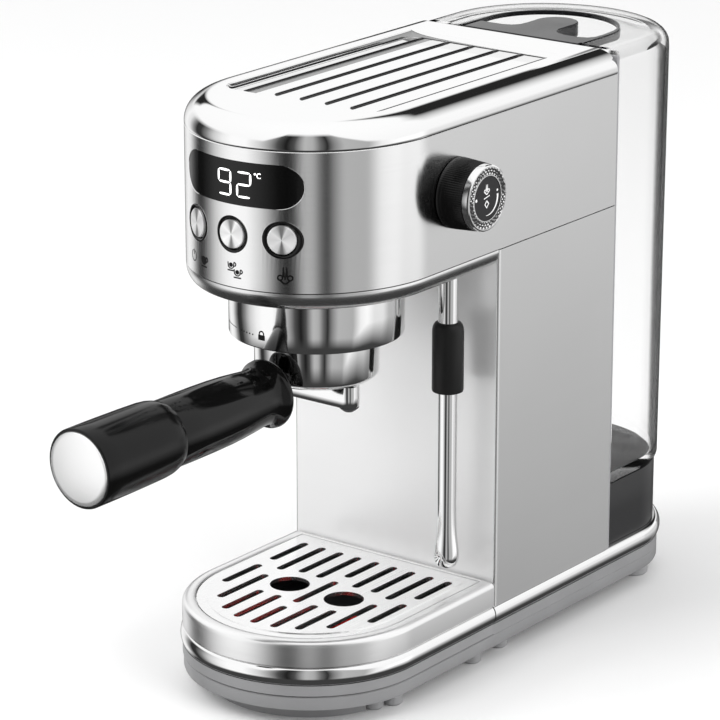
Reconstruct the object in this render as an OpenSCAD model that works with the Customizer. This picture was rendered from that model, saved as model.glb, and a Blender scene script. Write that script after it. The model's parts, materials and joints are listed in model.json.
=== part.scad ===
// Slim pump espresso machine: D-shaped steel body, clear rear tank, one group and a steam wand.
// The design frame has x = 0 on the middle plane, y = 0 on the front face of the column,
// +Y to the rear and z = 0 on the surface that the machine stands on.

/* [Body] */
// Width of the body over its side panels
body_w = 130; // [124:1:136]
// Depth of the column, from its front face to the back edge of its side panels
column_depth = 105.2; // [100:0.1:106]
// Distance that the brewing head reaches in front of the column
head_reach = 131.4; // [128:0.1:134]
// Length of the head's rounded front end
head_curve = 70.4; // [62:0.1:74]
// Distance that the base reaches in front of the column
base_reach = 136.3; // [134:0.1:140]
// Length of the base's rounded front end
base_curve = 63.8; // [60:0.1:68]
// Distance from the column's front face to the back of the base
base_back = 198; // [196:1:204]
// Length of the base's rounded rear end
base_back_curve = 57.4; // [54:0.1:62]
// Thickness of the steel sheet
sheet = 1.2; // [0.8:0.1:1.5]

/* [Levels] */
// Height of the feet
foot_h = 9.3; // [8:0.1:10]
// Height of the parting line between the base and the drip tray
deck_z = 16.6; // [16:0.1:17]
// Lower edge of the polished band
band_z = 22.1; // [21:0.1:23]
// Upper edge of the polished band, where the side panels start
panel_z = 32.3; // [32:0.1:34]
// Top of the drip tray
tray_z = 45.9; // [45:0.1:47]
// Underside of the head
head_z = 214.5; // [212:0.1:216]
// Seam between the lower panels and the head
seam_z = 223.6; // [223:0.1:226]
// Seam between the head and the top cover
cover_z = 294; // [292:0.1:295]
// Top of the machine
top_z = 306.8; // [306:0.1:308]

/* [Group and portafilter] */
// Distance of the group's axis in front of the column
group_y = 64.9; // [63:0.1:67]
// Outer radius of the steel collar round the group
collar_r = 44; // [43:0.1:45]
// Lower edge of the collar
collar_z = 186.3; // [185:0.1:188]
// Outer radius of the portafilter's bowl
bowl_r = 31.5; // [31:0.1:32]
// Lower edge of the bowl's straight wall
bowl_z = 165.9; // [165:0.1:167]
// Height at which the handle's axis meets the group's axis
handle_z = 162.9; // [162:0.1:164]
// Length of the handle from the group's axis to its end face
handle_l = 169.8; // [160:0.1:175]
// Angle that the handle drops towards its end
handle_drop = 1.9; // [0:0.1:4]
// Angle that the locked handle stops short of the middle plane
handle_short = 3.5; // [0:0.1:6]
// Distance of each outlet of the twin spout from the middle
outlet_x = 20.1; // [18:0.1:21]

/* [Controls] */
// Half the width of the display window
display_half = 35.8; // [34:0.1:37]
// Lower edge of the display window
display_low = 265.2; // [264:0.1:266]
// Upper edge of the display window
display_high = 287.1; // [286:0.1:288]
// Distance between neighbouring buttons, across the front
button_pitch = 26; // [24:0.5:27]
// Height of the buttons' centres
button_z = 250.3; // [249:0.1:252]
// Radius of a button's steel cap
button_r = 7.2; // [6.5:0.1:7.5]
// Travel of a button
button_travel = 1.5; // [1:0.1:2]
// Distance of the steam knob's axis in front of the column
knob_y = 37.7; // [36:0.1:40]
// Height of the steam knob's axis
knob_z = 261.4; // [260:0.1:263]
// Radius of the steam knob at the panel
knob_r = 17.8; // [16:0.1:18.5]
// Length that the steam knob stands out of the panel
knob_l = 19.2; // [17:0.1:21]

/* [Steam wand] */
// Distance of the wand from the middle plane
wand_x = 46.6; // [45:0.1:47]
// Distance of the wand in front of the column
wand_y = 17.5; // [16:0.1:19]
// Lower end of the wand
wand_low = 55.8; // [55:0.1:60]
// Radius of the wand's pipe
wand_r = 5.2; // [4.8:0.1:5.4]
// Lower end of the rubber grip
grip_low = 150.3; // [148:0.1:152]
// Upper end of the rubber grip
grip_high = 187; // [185:0.1:189]
// Radius of the rubber grip
grip_r = 8.1; // [7.5:0.1:8.5]

/* [Tank] */
// Distance from the column's front face to the back of the tank
tank_back = 200.8; // [200:0.1:204]
// Wall of the tank
tank_wall = 2.4; // [2:0.1:3]
// Top of the black seat under the tank
seat_z = 68; // [66:1:70]
// Top of the seat's hump, which stands up inside the tank's foot
hump_z = 85; // [82:1:86]

/* [Hidden] */
$fn = 48;
half_w = body_w / 2;
end_steps = 36;       // facets round each rounded end of the body
skin = 0.01;          // overshoot of a cut, so that no sheet of zero thickness is left
gap = 0.5;            // clearance between the body and the parts that leave it
slide_gap = 0.3;      // clearance between parts that slide on each other
bulge = 1.4;          // how far the polished band stands out of its own edges
band_edge = 0.4;      // how far the band's edges lie inside the body's outline
tank_in = 0.4;        // how far the tank's sides lie inside the panels
route_steps = 4;      // rings between two points of a hose's route
ring_sides = 10;      // sides of a hose
ring_start = [1, 2, 3];   // a direction that no hose follows, from which its rings are turned

head_middle = head_curve - head_reach;
function head_y(x) = head_middle - head_curve * sqrt(1 - pow(x / half_w, 2));
function head_turn(x) = atan(x * pow(head_curve, 2) / (pow(half_w, 2) * (head_middle - head_y(x))));

// The packed origin is under the middle of the whole machine, so everything is drawn shifted.
cap_dome = 1;         // rise of the domed end of the handle
cap_r = 18.4;         // radius of the handle's end
knob_face = half_w + knob_l;
band_side = half_w + bulge - band_edge;
handle_lean = cos(handle_drop) * cos(handle_short);
handle_tip = group_y + (handle_l + cap_dome) * handle_lean
    + (1 - pow(handle_lean, 2)) * pow(cap_r, 2) / (4 * cap_dome * handle_lean);
middle_x = (knob_face - band_side) / 2;
middle_y = (tank_back - handle_tip) / 2;

// ---------------------------------------------------------------- outlines

function front_end(half, reach, curve) = [
    for (i = [0:end_steps])
        let (a = 180 * i / end_steps)
        [-half * cos(a), curve - reach - curve * sin(a)]
];
function rear_end(half, back, curve) = [
    for (i = [0:end_steps])
        let (a = 180 * i / end_steps)
        [half * cos(a), back - curve + curve * sin(a)]
];

// A D with its round end to the front and a straight back.
module front_d(half, reach, curve, back) {
    polygon(concat([[half, back], [-half, back]], front_end(half, reach, curve)));
}

// A D with its round end to the rear and a straight front.
module rear_d(half, back, curve, front) {
    polygon(concat(rear_end(half, back, curve), [[-half, front], [half, front]]));
}

module base_plan(inset) {
    polygon(concat(
        rear_end(half_w - inset, base_back - inset, base_back_curve - inset),
        front_end(half_w - inset, base_reach - inset, base_curve - inset)
    ));
}

module tray_plan(inset, back) {
    front_d(half_w - inset, base_reach - inset, base_curve - inset, back);
}

module head_plan(inset, back) {
    front_d(half_w - inset, head_reach - inset, head_curve - inset, back);
}

module tank_plan(inset, front) {
    rear_d(half_w - tank_in - inset, tank_back - inset, half_w - tank_in - inset, front);
}

module slab(low, high) {
    translate([0, 0, low]) linear_extrude(high - low) children();
}

// A box from its lowest to its highest corner.
module block(low, high) {
    translate(low) cube(high - low);
}

// A round bar along X, from x0 to x1.
module bar_x(x0, x1, y, z, r) {
    translate([x0, y, z]) rotate([0, 90, 0]) cylinder(r = r, h = x1 - x0);
}

// A round bar along Y, from y0 to y1.
module bar_y(y0, y1, x, z, r) {
    translate([x, y1, z]) rotate([90, 0, 0]) cylinder(r = r, h = y1 - y0);
}

// A round bar along Z, from z0 to z1.
module bar_z(z0, z1, x, y, r) {
    translate([x, y, z0]) cylinder(r = r, h = z1 - z0);
}

// A point on the smooth curve through p1 and p2, whose neighbours are p0 and p3.
function between(p0, p1, p2, p3, t) = p1 + t / 2 * (p2 - p0
    + t * (2 * p0 - 5 * p1 + 4 * p2 - p3 + t * (3 * p1 - p0 - 3 * p2 + p3)));

function smooth(points) = let (last = len(points) - 1) concat(
    [for (i = [0:last - 1], t = [0:1 / route_steps:0.99])
        between(points[max(i - 1, 0)], points[i], points[i + 1], points[min(i + 2, last)], t)],
    [points[last]]
);

// A round tube along a smooth route, as rings of ring_sides points joined by flat faces.
module tube(points, r) {
    line = smooth(points);
    last = len(line) - 1;
    rings = [for (i = [0:last], k = [0:ring_sides - 1])
        let (
            along = line[min(i + 1, last)] - line[max(i - 1, 0)],
            across = cross(along, ring_start),
            u = across / norm(across),
            v = cross(along / norm(along), u),
            a = 360 * k / ring_sides
        )
        line[i] + r * (cos(a) * u + sin(a) * v)
    ];
    sides = [for (i = [0:last - 1], k = [0:ring_sides - 1])
        let (a = i * ring_sides + k, b = i * ring_sides + (k + 1) % ring_sides)
        each [[b, a, a + ring_sides], [b, a + ring_sides, b + ring_sides]]
    ];
    near_end = [for (k = [0:ring_sides - 1]) k];
    far_end = [for (k = [ring_sides - 1:-1:0]) last * ring_sides + k];
    polyhedron(rings, concat([near_end], sides, [far_end]));
}

// Places a child's z = 0 on the head's front at x and z, with its +Z pointing out of the head.
module on_head(x, z) {
    translate([x, head_y(x), z]) rotate([0, 0, head_turn(x)]) rotate([90, 0, 0]) children();
}

// Places a child's z axis along the group's axis.
module on_group() {
    translate([0, -group_y, 0]) children();
}

// Places a child's z axis along the handle, starting at the group's axis.
module on_handle() {
    translate([0, -group_y, handle_z]) rotate([90 + handle_drop, 0, -handle_short]) children();
}

// Places a child's z axis along the steam knob's axis, starting at the outside of the panel.
module on_knob() {
    translate([half_w, -knob_y, knob_z]) rotate([0, 90, 0]) children();
}

module shifted() {
    translate([-middle_x, -middle_y, 0]) children();
}

// ---------------------------------------------------------------- base

floor_t = 2.7;        // thickness of the moulded floor
skirt_in = 0.5;       // how far the skirt lies inside the body's outline
skirt_t = 1.5;
ledge_in = 3.2;       // inner edge of the band's flat top, which the tank's seat stands behind
plinth_in = 14.2;     // how far the plinth under the front lies inside the outline
plinth_back = -88;
inlet_z = 17.1;
inlet_r = 4.6;
inlet_bore = 3.3;
feet_at = [[53, -3.3, 5], [51.5, 22.5, 5], [49.5, 155.7, 8], [53, -71.8, 5], [48.5, -81.8, 5]];

module base_floor() {
    color("dimgray") shifted() {
        difference() {
            union() {
                slab(foot_h, foot_h + floor_t) base_plan(skirt_in + skirt_t);
                slab(0, foot_h) difference() {
                    tray_plan(plinth_in, 0);
                    tray_plan(plinth_in + 6, 0);
                    translate([-half_w, plinth_back]) square([body_w, base_reach]);
                }
            }
            for (at = screw_xy) bar_z(foot_h - skin, foot_h + floor_t + skin, at.x, at.y, screw_r);
        }
    }
}

module base_skirt() {
    color("gray") shifted() difference() {
        union() {
            difference() {
                slab(foot_h, band_z) base_plan(skirt_in);
                slab(foot_h - skin, band_z + skin) base_plan(skirt_in + skirt_t);
                block([-half_w, -base_reach, deck_z], [half_w, 0, band_z + skin]);
            }
            slab(deck_z - skirt_t, deck_z) tray_plan(skirt_in + skirt_t, 0);
        }
        bar_y(base_back - 10, base_back + 1, 0, inlet_z, inlet_r);
    }
}

// The half-round section of the band, as a stack of thin slices of its outline.
module band_solid() {
    mid = (band_z + panel_z) / 2;
    rise = (panel_z - band_z) / 2;
    hull() {
        for (a = [-90:30:90]) {
            z = mid + (rise - skin) * sin(a);
            slab(z - skin / 2, z + skin / 2) base_plan(band_edge - bulge * cos(a));
        }
    }
}

module base_band() {
    color("silver") shifted() difference() {
        band_solid();
        slab(band_z - 1, panel_z + 1) base_plan(ledge_in);
        block([-body_w, -base_reach - 10, 0], [body_w, 0, panel_z + 1]);
    }
}

module feet() {
    color("gainsboro") shifted() for (at = feet_at, side = [-1, 1]) {
        translate([side * at.x, at.y, 0]) rotate_extrude() polygon([
            [0, 0], [at.z - 1, 0], [at.z, 1], [at.z, foot_h], [0, foot_h]
        ]);
    }
}

screw_r = 1.7;
screw_xy = [[-40, 90], [40, 90], [-40, 15], [40, 15]];

module cord_inlet() {
    color("black") shifted() difference() {
        bar_y(base_back - 7, base_back + 0.8, 0, inlet_z, inlet_r);
        bar_y(base_back - 8, base_back + 1, 0, inlet_z, inlet_bore);
    }
}

// ---------------------------------------------------------------- column

post = 8;             // side of a chassis post
wall_t = 2;
chassis_t = 2.5;

module chassis() {
    inner = half_w - sheet - 0.4;
    color("darkslategray") shifted() difference() {
        union() {
            block([-inner, sheet + 0.3, panel_z], [inner, column_depth - 0.2, panel_z + chassis_t]);
            for (side = [-1, 1]) {
                for (y = [sheet + 0.3, column_depth - 0.2 - post]) {
                    block([side * (inner - post / 2) - post / 2, y, panel_z + chassis_t],
                          [side * (inner - post / 2) + post / 2, y + post, cover_z - 4]);
                }
                block([side * (inner - post / 2) - post / 2, sheet + 0.3, seam_z - 2],
                      [side * (inner - post / 2) + post / 2, column_depth - 0.2, seam_z + 2]);
            }
            for (at = screw_xy) bar_z(foot_h + floor_t, panel_z + skin, at.x, at.y, 4);
        }
        for (at = screw_xy) bar_z(foot_h + floor_t - skin, panel_z - 4, at.x, at.y, screw_r);
        for (at = rear_screws) bar_y(column_depth - 9, column_depth, at.x, at.z, screw_r);
    }
}

module column_front() {
    color("silver") shifted() {
        block([-(half_w - sheet), 0, panel_z], [half_w - sheet, sheet, seam_z]);
        block([-(half_w - ledge_in), 0, deck_z], [half_w - ledge_in, sheet, panel_z + skin]);
    }
}

module side_panels() {
    color("silver") shifted() for (side = [-1, 1]) {
        x = side * (half_w - sheet / 2);
        block([x - sheet / 2, 0, panel_z], [x + sheet / 2, column_depth, seam_z]);
    }
}

rear_screws = [[-57, 0, 60], [57, 0, 60], [-57, 0, 270], [57, 0, 270]];

module back_wall() {
    color("dimgray") shifted() difference() {
        block([-half_w + 0.4, column_depth, panel_z], [half_w - 0.4, column_depth + wall_t, top_z - 4]);
        for (at = rear_screws) {
            bar_y(column_depth - 1, column_depth + wall_t + 1, at.x, at.z, screw_r);
        }
        bar_y(column_depth - 1, column_depth + wall_t + 1, 0, 55, hose_r + gap);
    }
}

// Self-tapping screws: four up through the floor and four into the posts behind the back wall.
module case_screws() {
    color("silver") shifted() {
        for (at = screw_xy) {
            bar_z(foot_h - 2, foot_h, at.x, at.y, 3.2);
            bar_z(foot_h - skin, foot_h + 14, at.x, at.y, screw_r);
        }
        for (at = rear_screws) bar_y(column_depth - 8, column_depth + wall_t, at.x, at.z, screw_r);
    }
}

// ---------------------------------------------------------------- head

lip_in = 6.4;         // how far the lip under the head curls inwards
lip_plate = 2.5;
ball_z = 219.5;       // centre of the wand's ball joint

module pill(low, high, half, y0, y1) {
    r = (high - low) / 2;
    for (side = [-1, 1]) bar_y(y0, y1, side * (half - r), low + r, r);
    block([-(half - r), y0, low], [half - r, y1, high]);
}

module head_shell() {
    color("silver") shifted() difference() {
        slab(seam_z, cover_z) difference() {
            head_plan(0, column_depth);
            head_plan(sheet, column_depth + 1);
        }
        pill(display_low, display_high, display_half, -head_reach - 1, -head_reach + 40);
        for (i = [-1:1]) {
            bar_y(-head_reach - 1, -head_reach + 40, i * button_pitch, button_z, bezel_r);
        }
        bar_x(half_w - 3, half_w + 1, -knob_y, knob_z, 5);
    }
}

// The dark lip that closes the head from below, with openings for the group and the wand.
module head_base() {
    rise = seam_z - head_z;
    color("dimgray") shifted() difference() {
        hull() {
            for (a = [0:15:90]) {
                slab(seam_z - skin - (rise - skin) * sin(a), seam_z - (rise - skin) * sin(a))
                    head_plan(lip_in * (1 - cos(a)), -0.2);
            }
        }
        slab(head_z + lip_plate, seam_z + 1) head_plan(3.6, -2.5);
        bar_z(head_z - 1, seam_z, 0, -group_y, group_r + gap);
        bar_z(head_z - 1, seam_z, wand_x, -wand_y, 10.4);
    }
}

cover_r = 12;         // radius of the cover's rounded edge
cover_t = 2;
plate_half = 46.5;
plate_front = -82;
plate_back = 97;
plate_top = top_z - 4.2;
plate_t = 1.5;
rib_pitch = 15.4;
rib_l = 150;
rib_middle = 6;
corner_r = 9;

module rounded_box(half, front, back, low, high, r) {
    slab(low, high) union() {
        for (sx = [-1, 1], y = [front + r, back - r]) translate([sx * (half - r), y]) circle(r = r);
        translate([-half + r, front]) square([2 * (half - r), back - front]);
        translate([-half, front + r]) square([2 * half, back - front - 2 * r]);
    }
}

// The cover's outer form, or with an inset the space inside it.
module cover_form(inset) {
    low = cover_z - inset;
    edge = cover_r - inset / 2;
    hull() {
        slab(low, low + skin) head_plan(inset, column_depth - inset);
        for (a = [0:15:90]) {
            z = top_z - inset - edge + (edge - skin) * sin(a);
            slab(z, z + skin) head_plan(inset + edge * (1 - cos(a)), column_depth - inset - 4 * (1 - cos(a)));
        }
    }
}

module top_cover() {
    color("silver") shifted() difference() {
        cover_form(0);
        difference() {
            cover_form(cover_t);
            rounded_box(plate_half + cover_t, plate_front - cover_t, plate_back + cover_t,
                        cover_z + 4, top_z, corner_r + cover_t);
        }
        rounded_box(plate_half, plate_front, plate_back, plate_top - plate_t, top_z + 1, corner_r);
        rounded_box(plate_half - 3, plate_front + 3, plate_back - 3, cover_z - 1, top_z, corner_r - 3);
    }
}

module cup_plate() {
    color("silver") shifted() {
        rounded_box(plate_half, plate_front, plate_back, plate_top - plate_t, plate_top, corner_r);
        for (i = [-2.5:2.5]) translate([i * rib_pitch, rib_middle, plate_top - skin]) {
            linear_extrude(1 + skin) {
                square([3.2, rib_l - 3.2], center = true);
                for (e = [-1, 1]) translate([0, e * (rib_l - 3.2) / 2]) circle(r = 1.6);
            }
        }
    }
}

// ---------------------------------------------------------------- display and buttons

bezel_r = 9.3;
board_y = -112;

module display_window() {
    color("black") shifted() intersection() {
        slab(seam_z, cover_z) difference() {
            head_plan(0, 0);
            head_plan(sheet + 0.6, 1);
        }
        pill(display_low, display_high, display_half, -head_reach - 1, -head_reach + 40);
    }
}

module control_board() {
    color("darkgreen") shifted() {
        block([-38, board_y, 238], [38, board_y + 1.6, 290]);
        block([-22, -124, 267], [22, board_y, 285]);
        for (i = [-1:1]) on_head(i * button_pitch, button_z) {
            cylinder_on(-7 - button_travel - 3.5, -7 - button_travel - slide_gap, 3);
            cylinder_on(-19.6, -7 - button_travel - 3.4, 2);
        }
    }
}

module button_bezels() {
    color("black") shifted() for (i = [-1:1]) difference() {
        intersection() {
            slab(button_z - 12, button_z + 12) difference() {
                head_plan(0, 0);
                head_plan(3.2, 1);
            }
            bar_y(-head_reach - 1, -head_reach + 40, i * button_pitch, button_z, bezel_r);
        }
        on_head(i * button_pitch, button_z) cylinder_on(-9, 4, button_r + slide_gap);
    }
}

// A steel cap on a short plunger that reaches back to its switch.
module button(i) {
    color("silver") shifted() on_head(i * button_pitch, button_z) rotate_extrude() polygon([
        [0, -7], [2.5, -7], [2.5, -2.5], [button_r, -2.5], [button_r, 0],
        [button_r - 0.5, 0.5], [0, 0.5]
    ]);
}

// ---------------------------------------------------------------- group and boiler

group_r = 40.4;
bore_r = bowl_r + 0.9;
lug_r = 36;
lug_z = 196.2;
lug_h = 3.6;
gasket_r = 31.6;
gasket_z = 202.8;
gasket_h = 5.8;
screen_r = 27.2;
group_top = 224;
unlock_turn = 45;
boiler_r = 33;
boiler_split = 240;
boiler_top_z = 262;

// A sector ring of the given half angle, pointing along +X and -X.
module lug_pair(r_in, r_out, half_angle, low, high) {
    for (turn = [0, 180]) rotate([0, 0, turn - half_angle]) rotate_extrude(angle = 2 * half_angle)
        translate([r_in, low]) square([r_out - r_in, high - low]);
}

module group_collar() {
    color("silver") shifted() on_group() rotate_extrude() polygon([
        [lug_r + 1, collar_z], [collar_r - 0.8, collar_z], [collar_r, collar_z + 0.8],
        [collar_r, head_z], [group_r + 0.6, head_z], [group_r + 0.6, collar_z + 2], [lug_r + 1, collar_z + 2]
    ]);
}

module group_head() {
    color("darkgray") shifted() on_group() difference() {
        translate([0, 0, collar_z + 2]) cylinder(r = group_r, h = group_top - collar_z - 2);
        cut_z = collar_z + 2 - skin;
        translate([0, 0, cut_z]) cylinder(r = bore_r, h = gasket_z - 0.2 - cut_z);
        translate([0, 0, lug_z - 0.7]) cylinder(r = lug_r + 1, h = lug_h + 1.4);
        rotate([0, 0, -unlock_turn]) lug_pair(bore_r - 2, lug_r + 1, 20, cut_z, lug_z);
        translate([0, 0, gasket_z - 0.3]) cylinder(r = gasket_r, h = gasket_h + 0.3);
        cylinder(r = 2.5, h = 218);
        for (turn = [0:60:300]) rotate([0, 0, turn + 30]) translate([12, 0, 200]) cylinder(r = 1.5, h = 30);
    }
}

module group_gasket() {
    color("black") shifted() on_group() rotate_extrude() translate([screen_r + 0.2, gasket_z])
        square([gasket_r - screen_r - 0.2, gasket_h]);
}

// Dispersion block with its screen of fine holes.
module shower_screen() {
    color("silver") shifted() on_group() difference() {
        translate([0, 0, gasket_z + 0.1]) cylinder(r = screen_r, h = gasket_h - 0.1);
        translate([0, 0, gasket_z - 1]) cylinder(r = 2.6, h = gasket_h + 2);
        for (ring = [9, 15, 21], turn = [0:30:330]) {
            rotate([0, 0, turn]) translate([ring, 0, gasket_z - 1]) cylinder(r = 0.6, h = gasket_h + 2);
        }
    }
}

module shower_screw() {
    color("silver") shifted() on_group() {
        translate([0, 0, gasket_z - 2.2]) difference() {
            cylinder(r = 4.2, h = 2.2);
            translate([0, 0, -1]) cylinder(r = 1.6, h = 2.4, $fn = 6);
        }
        translate([0, 0, gasket_z - skin]) cylinder(r = 2.4, h = 14);
    }
}

// Lower half of the thermoblock. The ends of the heating element cast into it stand out at the rear.
module boiler_base() {
    color("darkgray") shifted() on_group() {
        difference() {
            translate([0, 0, group_top]) cylinder(r = boiler_r, h = boiler_split - group_top);
            translate([0, 0, group_top + 5]) cylinder(r = 18, h = 20);
            for (at = bolt_turns) rotate([0, 0, at]) translate([27.5, 0, 220]) cylinder(r = 2.6, h = 30);
            translate([0, 0, 220]) cylinder(r = 2.5, h = 20);
        }
        for (side = [-1, 1]) rotate([0, 0, side * 12]) bar_y(boiler_r - 2, boiler_r + 8, 0, 231, 3);
    }
}

module boiler_top() {
    color("darkgray") shifted() on_group() difference() {
        translate([0, 0, boiler_split]) cylinder(r = boiler_r, h = boiler_top_z - boiler_split);
        translate([0, 0, boiler_split - 1]) cylinder(r = 18, h = 15);
        for (at = bolt_turns) {
            rotate([0, 0, at]) translate([27.5, 0, boiler_split - 1]) cylinder(r = 2.6, h = 30);
        }
    }
}

bolt_turns = [45, 135, 225, 315];

module boiler_bolts() {
    color("dimgray") shifted() on_group() for (at = bolt_turns) rotate([0, 0, at]) {
        translate([27.5, 0, boiler_top_z]) cylinder(r = 4.2, h = 3, $fn = 6);
        translate([27.5, 0, group_top + 1]) cylinder(r = 2.5, h = boiler_top_z - group_top - 1 + skin);
    }
}

module thermostat() {
    color("ivory") shifted() on_group() {
        translate([-8, 0, boiler_top_z]) cylinder(r = 7, h = 5);
        translate([-8, 0, boiler_top_z + 5 - skin]) cylinder(r = 5, h = 4);
        for (side = [-1, 1]) {
            block([-9.5 + side * 4.5, -1, boiler_top_z + 8], [-6.5 + side * 4.5, 1, boiler_top_z + 14]);
        }
    }
}

// ---------------------------------------------------------------- pump, valve, pipes and wiring

pump_x = -24;
pump_z = 76;
hose_r = 3.5;
valve_x = 30;
stem_r = 3;

module pump_body() {
    color("goldenrod") shifted() {
        bar_y(22, 82, pump_x, pump_z, 9);
        bar_y(82 - skin, 87, pump_x, pump_z, 5);
        bar_y(16, 22 + skin, pump_x, pump_z, 5);
    }
}

module pump_coil() {
    color("darkred") shifted() difference() {
        block([pump_x - 21, 34, pump_z - 21], [pump_x + 21, 70, pump_z + 21]);
        bar_y(33, 71, pump_x, pump_z, 9);
    }
}

// Two rubber cradles that carry the pump on the chassis floor.
module pump_mounts() {
    color("black") shifted() for (y = [24, 74]) difference() {
        block([pump_x - 14, y, panel_z + chassis_t], [pump_x + 14, y + 6, pump_z + 13]);
        bar_y(y - 1, y + 7, pump_x, pump_z, 9);
    }
}

module power_board() {
    color("seagreen") shifted() {
        block([-60, 14, 120], [-58.4, 92, 205]);
        block([-58.4, 24, 130], [-38, 50, 156]);
        block([-58.4, 60, 134], [-44, 80, 150]);
        for (z = [168, 186]) bar_x(-58.4 - skin, -40, 34, z, 7);
        block([-58.4, 58, 168], [-42, 82, 196]);
    }
}

module steam_valve() {
    color("goldenrod") shifted() difference() {
        union() {
            bar_x(valve_x + 6, half_w - sheet, -knob_y, knob_z, 8);
            bar_z(knob_z - 14, knob_z, wand_x, -knob_y, 4.5);
            bar_y(-knob_y, -knob_y + 13, valve_x + 12, knob_z, 4.5);
        }
        bar_x(valve_x + 14, half_w + 1, -knob_y, knob_z, stem_r + 0.05);
    }
}

// The supply hose from the tank's seat to the pump and the pressure hose up to the boiler.
module water_hoses() {
    color("white") shifted() {
        tube([[0, socket_y, socket_z], [0, socket_y, 60.5], [0, socket_y, 59], [0, 125, 56], [0, 118, 55],
              [0, 110, 55], [0, 104, 55], [-5, 98, 57], [-14, 95, 64], [-21, 96, 71], [pump_x, 93, pump_z],
              [pump_x, 90, pump_z], [pump_x, 87, pump_z]], hose_r);
        tube([[pump_x, 16, pump_z], [pump_x, 13.5, pump_z], [pump_x, 11, pump_z], [-23, 8.4, 80], [-21, 8, 88],
              [-10, 16, 130], [-10, 20, 200], [-10, 16, 236], [-4, -4, 248], [-1, -17, 250], [0, -24, 250],
              [0, -27.5, 250], [0, boiler_r - group_y, 250]], hose_r);
    }
}

module steam_pipe() {
    color("peru") shifted() {
        tube([[wand_x, -knob_y, knob_z - 14], [wand_x, -knob_y, knob_z - 16], [wand_x, -knob_y, knob_z - 18],
              [wand_x, -34, 239.5], [wand_x, -27, 237.5], [wand_x, -20.5, 236], [wand_x, -wand_y, 232.5],
              [wand_x, -wand_y, yoke_top + 0.1]], 2.5);
        tube([[valve_x + 12, -knob_y + 13, knob_z], [valve_x + 12, -knob_y + 15, knob_z],
              [valve_x + 12, -knob_y + 17, knob_z], [39, -14, 263.5], [33, -11.5, 267], [22, -20, 272],
              [14, -40, 274], [13.5, 7 - group_y, 272.5], [14, 10 - group_y, 267],
              [14, 10 - group_y, (267 + boiler_top_z) / 2], [14, 10 - group_y, boiler_top_z]], 2.5);
    }
}

module valve_stem() {
    color("goldenrod") shifted() bar_x(valve_x + 16, half_w + 12, -knob_y, knob_z, stem_r);
}

// ---------------------------------------------------------------- steam knob

knob_gap = 0.4;
knob_ring_l = 4;
ring_r = 16.6;
disc_r = 11.2;

module knob_body() {
    body_l = knob_l - knob_ring_l;
    color("black") shifted() on_knob() difference() {
        rotate_extrude() polygon([
            [0, knob_gap], [knob_r - 0.6, knob_gap], [knob_r, knob_gap + 0.6],
            [knob_r - 0.9, body_l], [0, body_l]
        ]);
        translate([0, 0, -1]) cylinder(r = stem_r, h = 13);
    }
}

module knob_ring() {
    color("silver") shifted() on_knob() rotate_extrude() translate([0, knob_l - knob_ring_l]) polygon([
        [disc_r, 0], [ring_r, 0], [ring_r, knob_ring_l - 0.6], [ring_r - 0.6, knob_ring_l],
        [disc_r, knob_ring_l]
    ]);
}

module knob_disc() {
    color("black") shifted() on_knob() translate([0, 0, knob_l - knob_ring_l])
        cylinder(r = disc_r, h = knob_ring_l - 0.3);
}

// ---------------------------------------------------------------- steam wand

ball_r = 7.5;
yoke_top = ball_z + 10.5;

module on_wand() {
    translate([wand_x, -wand_y, 0]) children();
}

// The socket that turns in the head and carries the wand's ball.
module wand_yoke() {
    bore = ball_r + 0.35;
    color("dimgray") shifted() on_wand() rotate_extrude() polygon([
        [bore, ball_z - 1.5], [11, ball_z - 1.5], [11, yoke_top], [3.2, yoke_top],
        [3.2, ball_z + bore], [bore, ball_z + bore]
    ]);
}

module wand_pipe() {
    color("silver") shifted() on_wand() difference() {
        union() {
            translate([0, 0, ball_z]) sphere(r = ball_r);
            translate([0, 0, grip_low]) cylinder(r = wand_r - 0.6, h = ball_z - grip_low);
            translate([0, 0, grip_high - 2]) cylinder(r = wand_r, h = ball_z - grip_high + 2);
        }
        translate([0, 0, grip_low - 1]) cylinder(r = 2, h = ball_z + ball_r - grip_low + 2);
    }
}

module wand_grip() {
    color("black") shifted() on_wand() rotate_extrude() polygon(concat(
        [[wand_r - 0.6, grip_low], [grip_r - 0.8, grip_low], [grip_r, grip_low + 1]],
        [for (a = [0:15:90]) [wand_r + 0.1 + (grip_r - wand_r - 0.1) * cos(a), grip_high - 5 + 5 * sin(a)]],
        [[wand_r, grip_high], [wand_r, grip_high - 2], [wand_r - 0.6, grip_high - 2]]
    ));
}

// Chrome tube with a teardrop bulb and a nozzle bore.
module wand_tip() {
    bulb = 6.6;
    color("silver") shifted() on_wand() difference() {
        rotate_extrude() polygon([
            [0, wand_low], [3.6, wand_low], [5.4, wand_low + 1.4], [bulb, wand_low + 5],
            [bulb, wand_low + 8], [5.6, wand_low + 16], [4.9, wand_low + 24.5], [4.9, grip_low], [0, grip_low]
        ]);
        translate([0, 0, wand_low - 1]) cylinder(r = 1.5, h = grip_low);
        translate([-10, 0, 80]) rotate([0, 90, 0]) cylinder(r = 1.2, h = 10);
    }
}

// ---------------------------------------------------------------- portafilter

bowl_wall = 2.6;
rim_z = 202.2;
basket_r = 25.5;      // a standard 51 mm basket
lens_z = 160.5;
neck_r = 6.5;
guard_l = 36.5;
grip_end = 113;
sleeve_end = 169;
cap_seat = 165;

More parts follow.
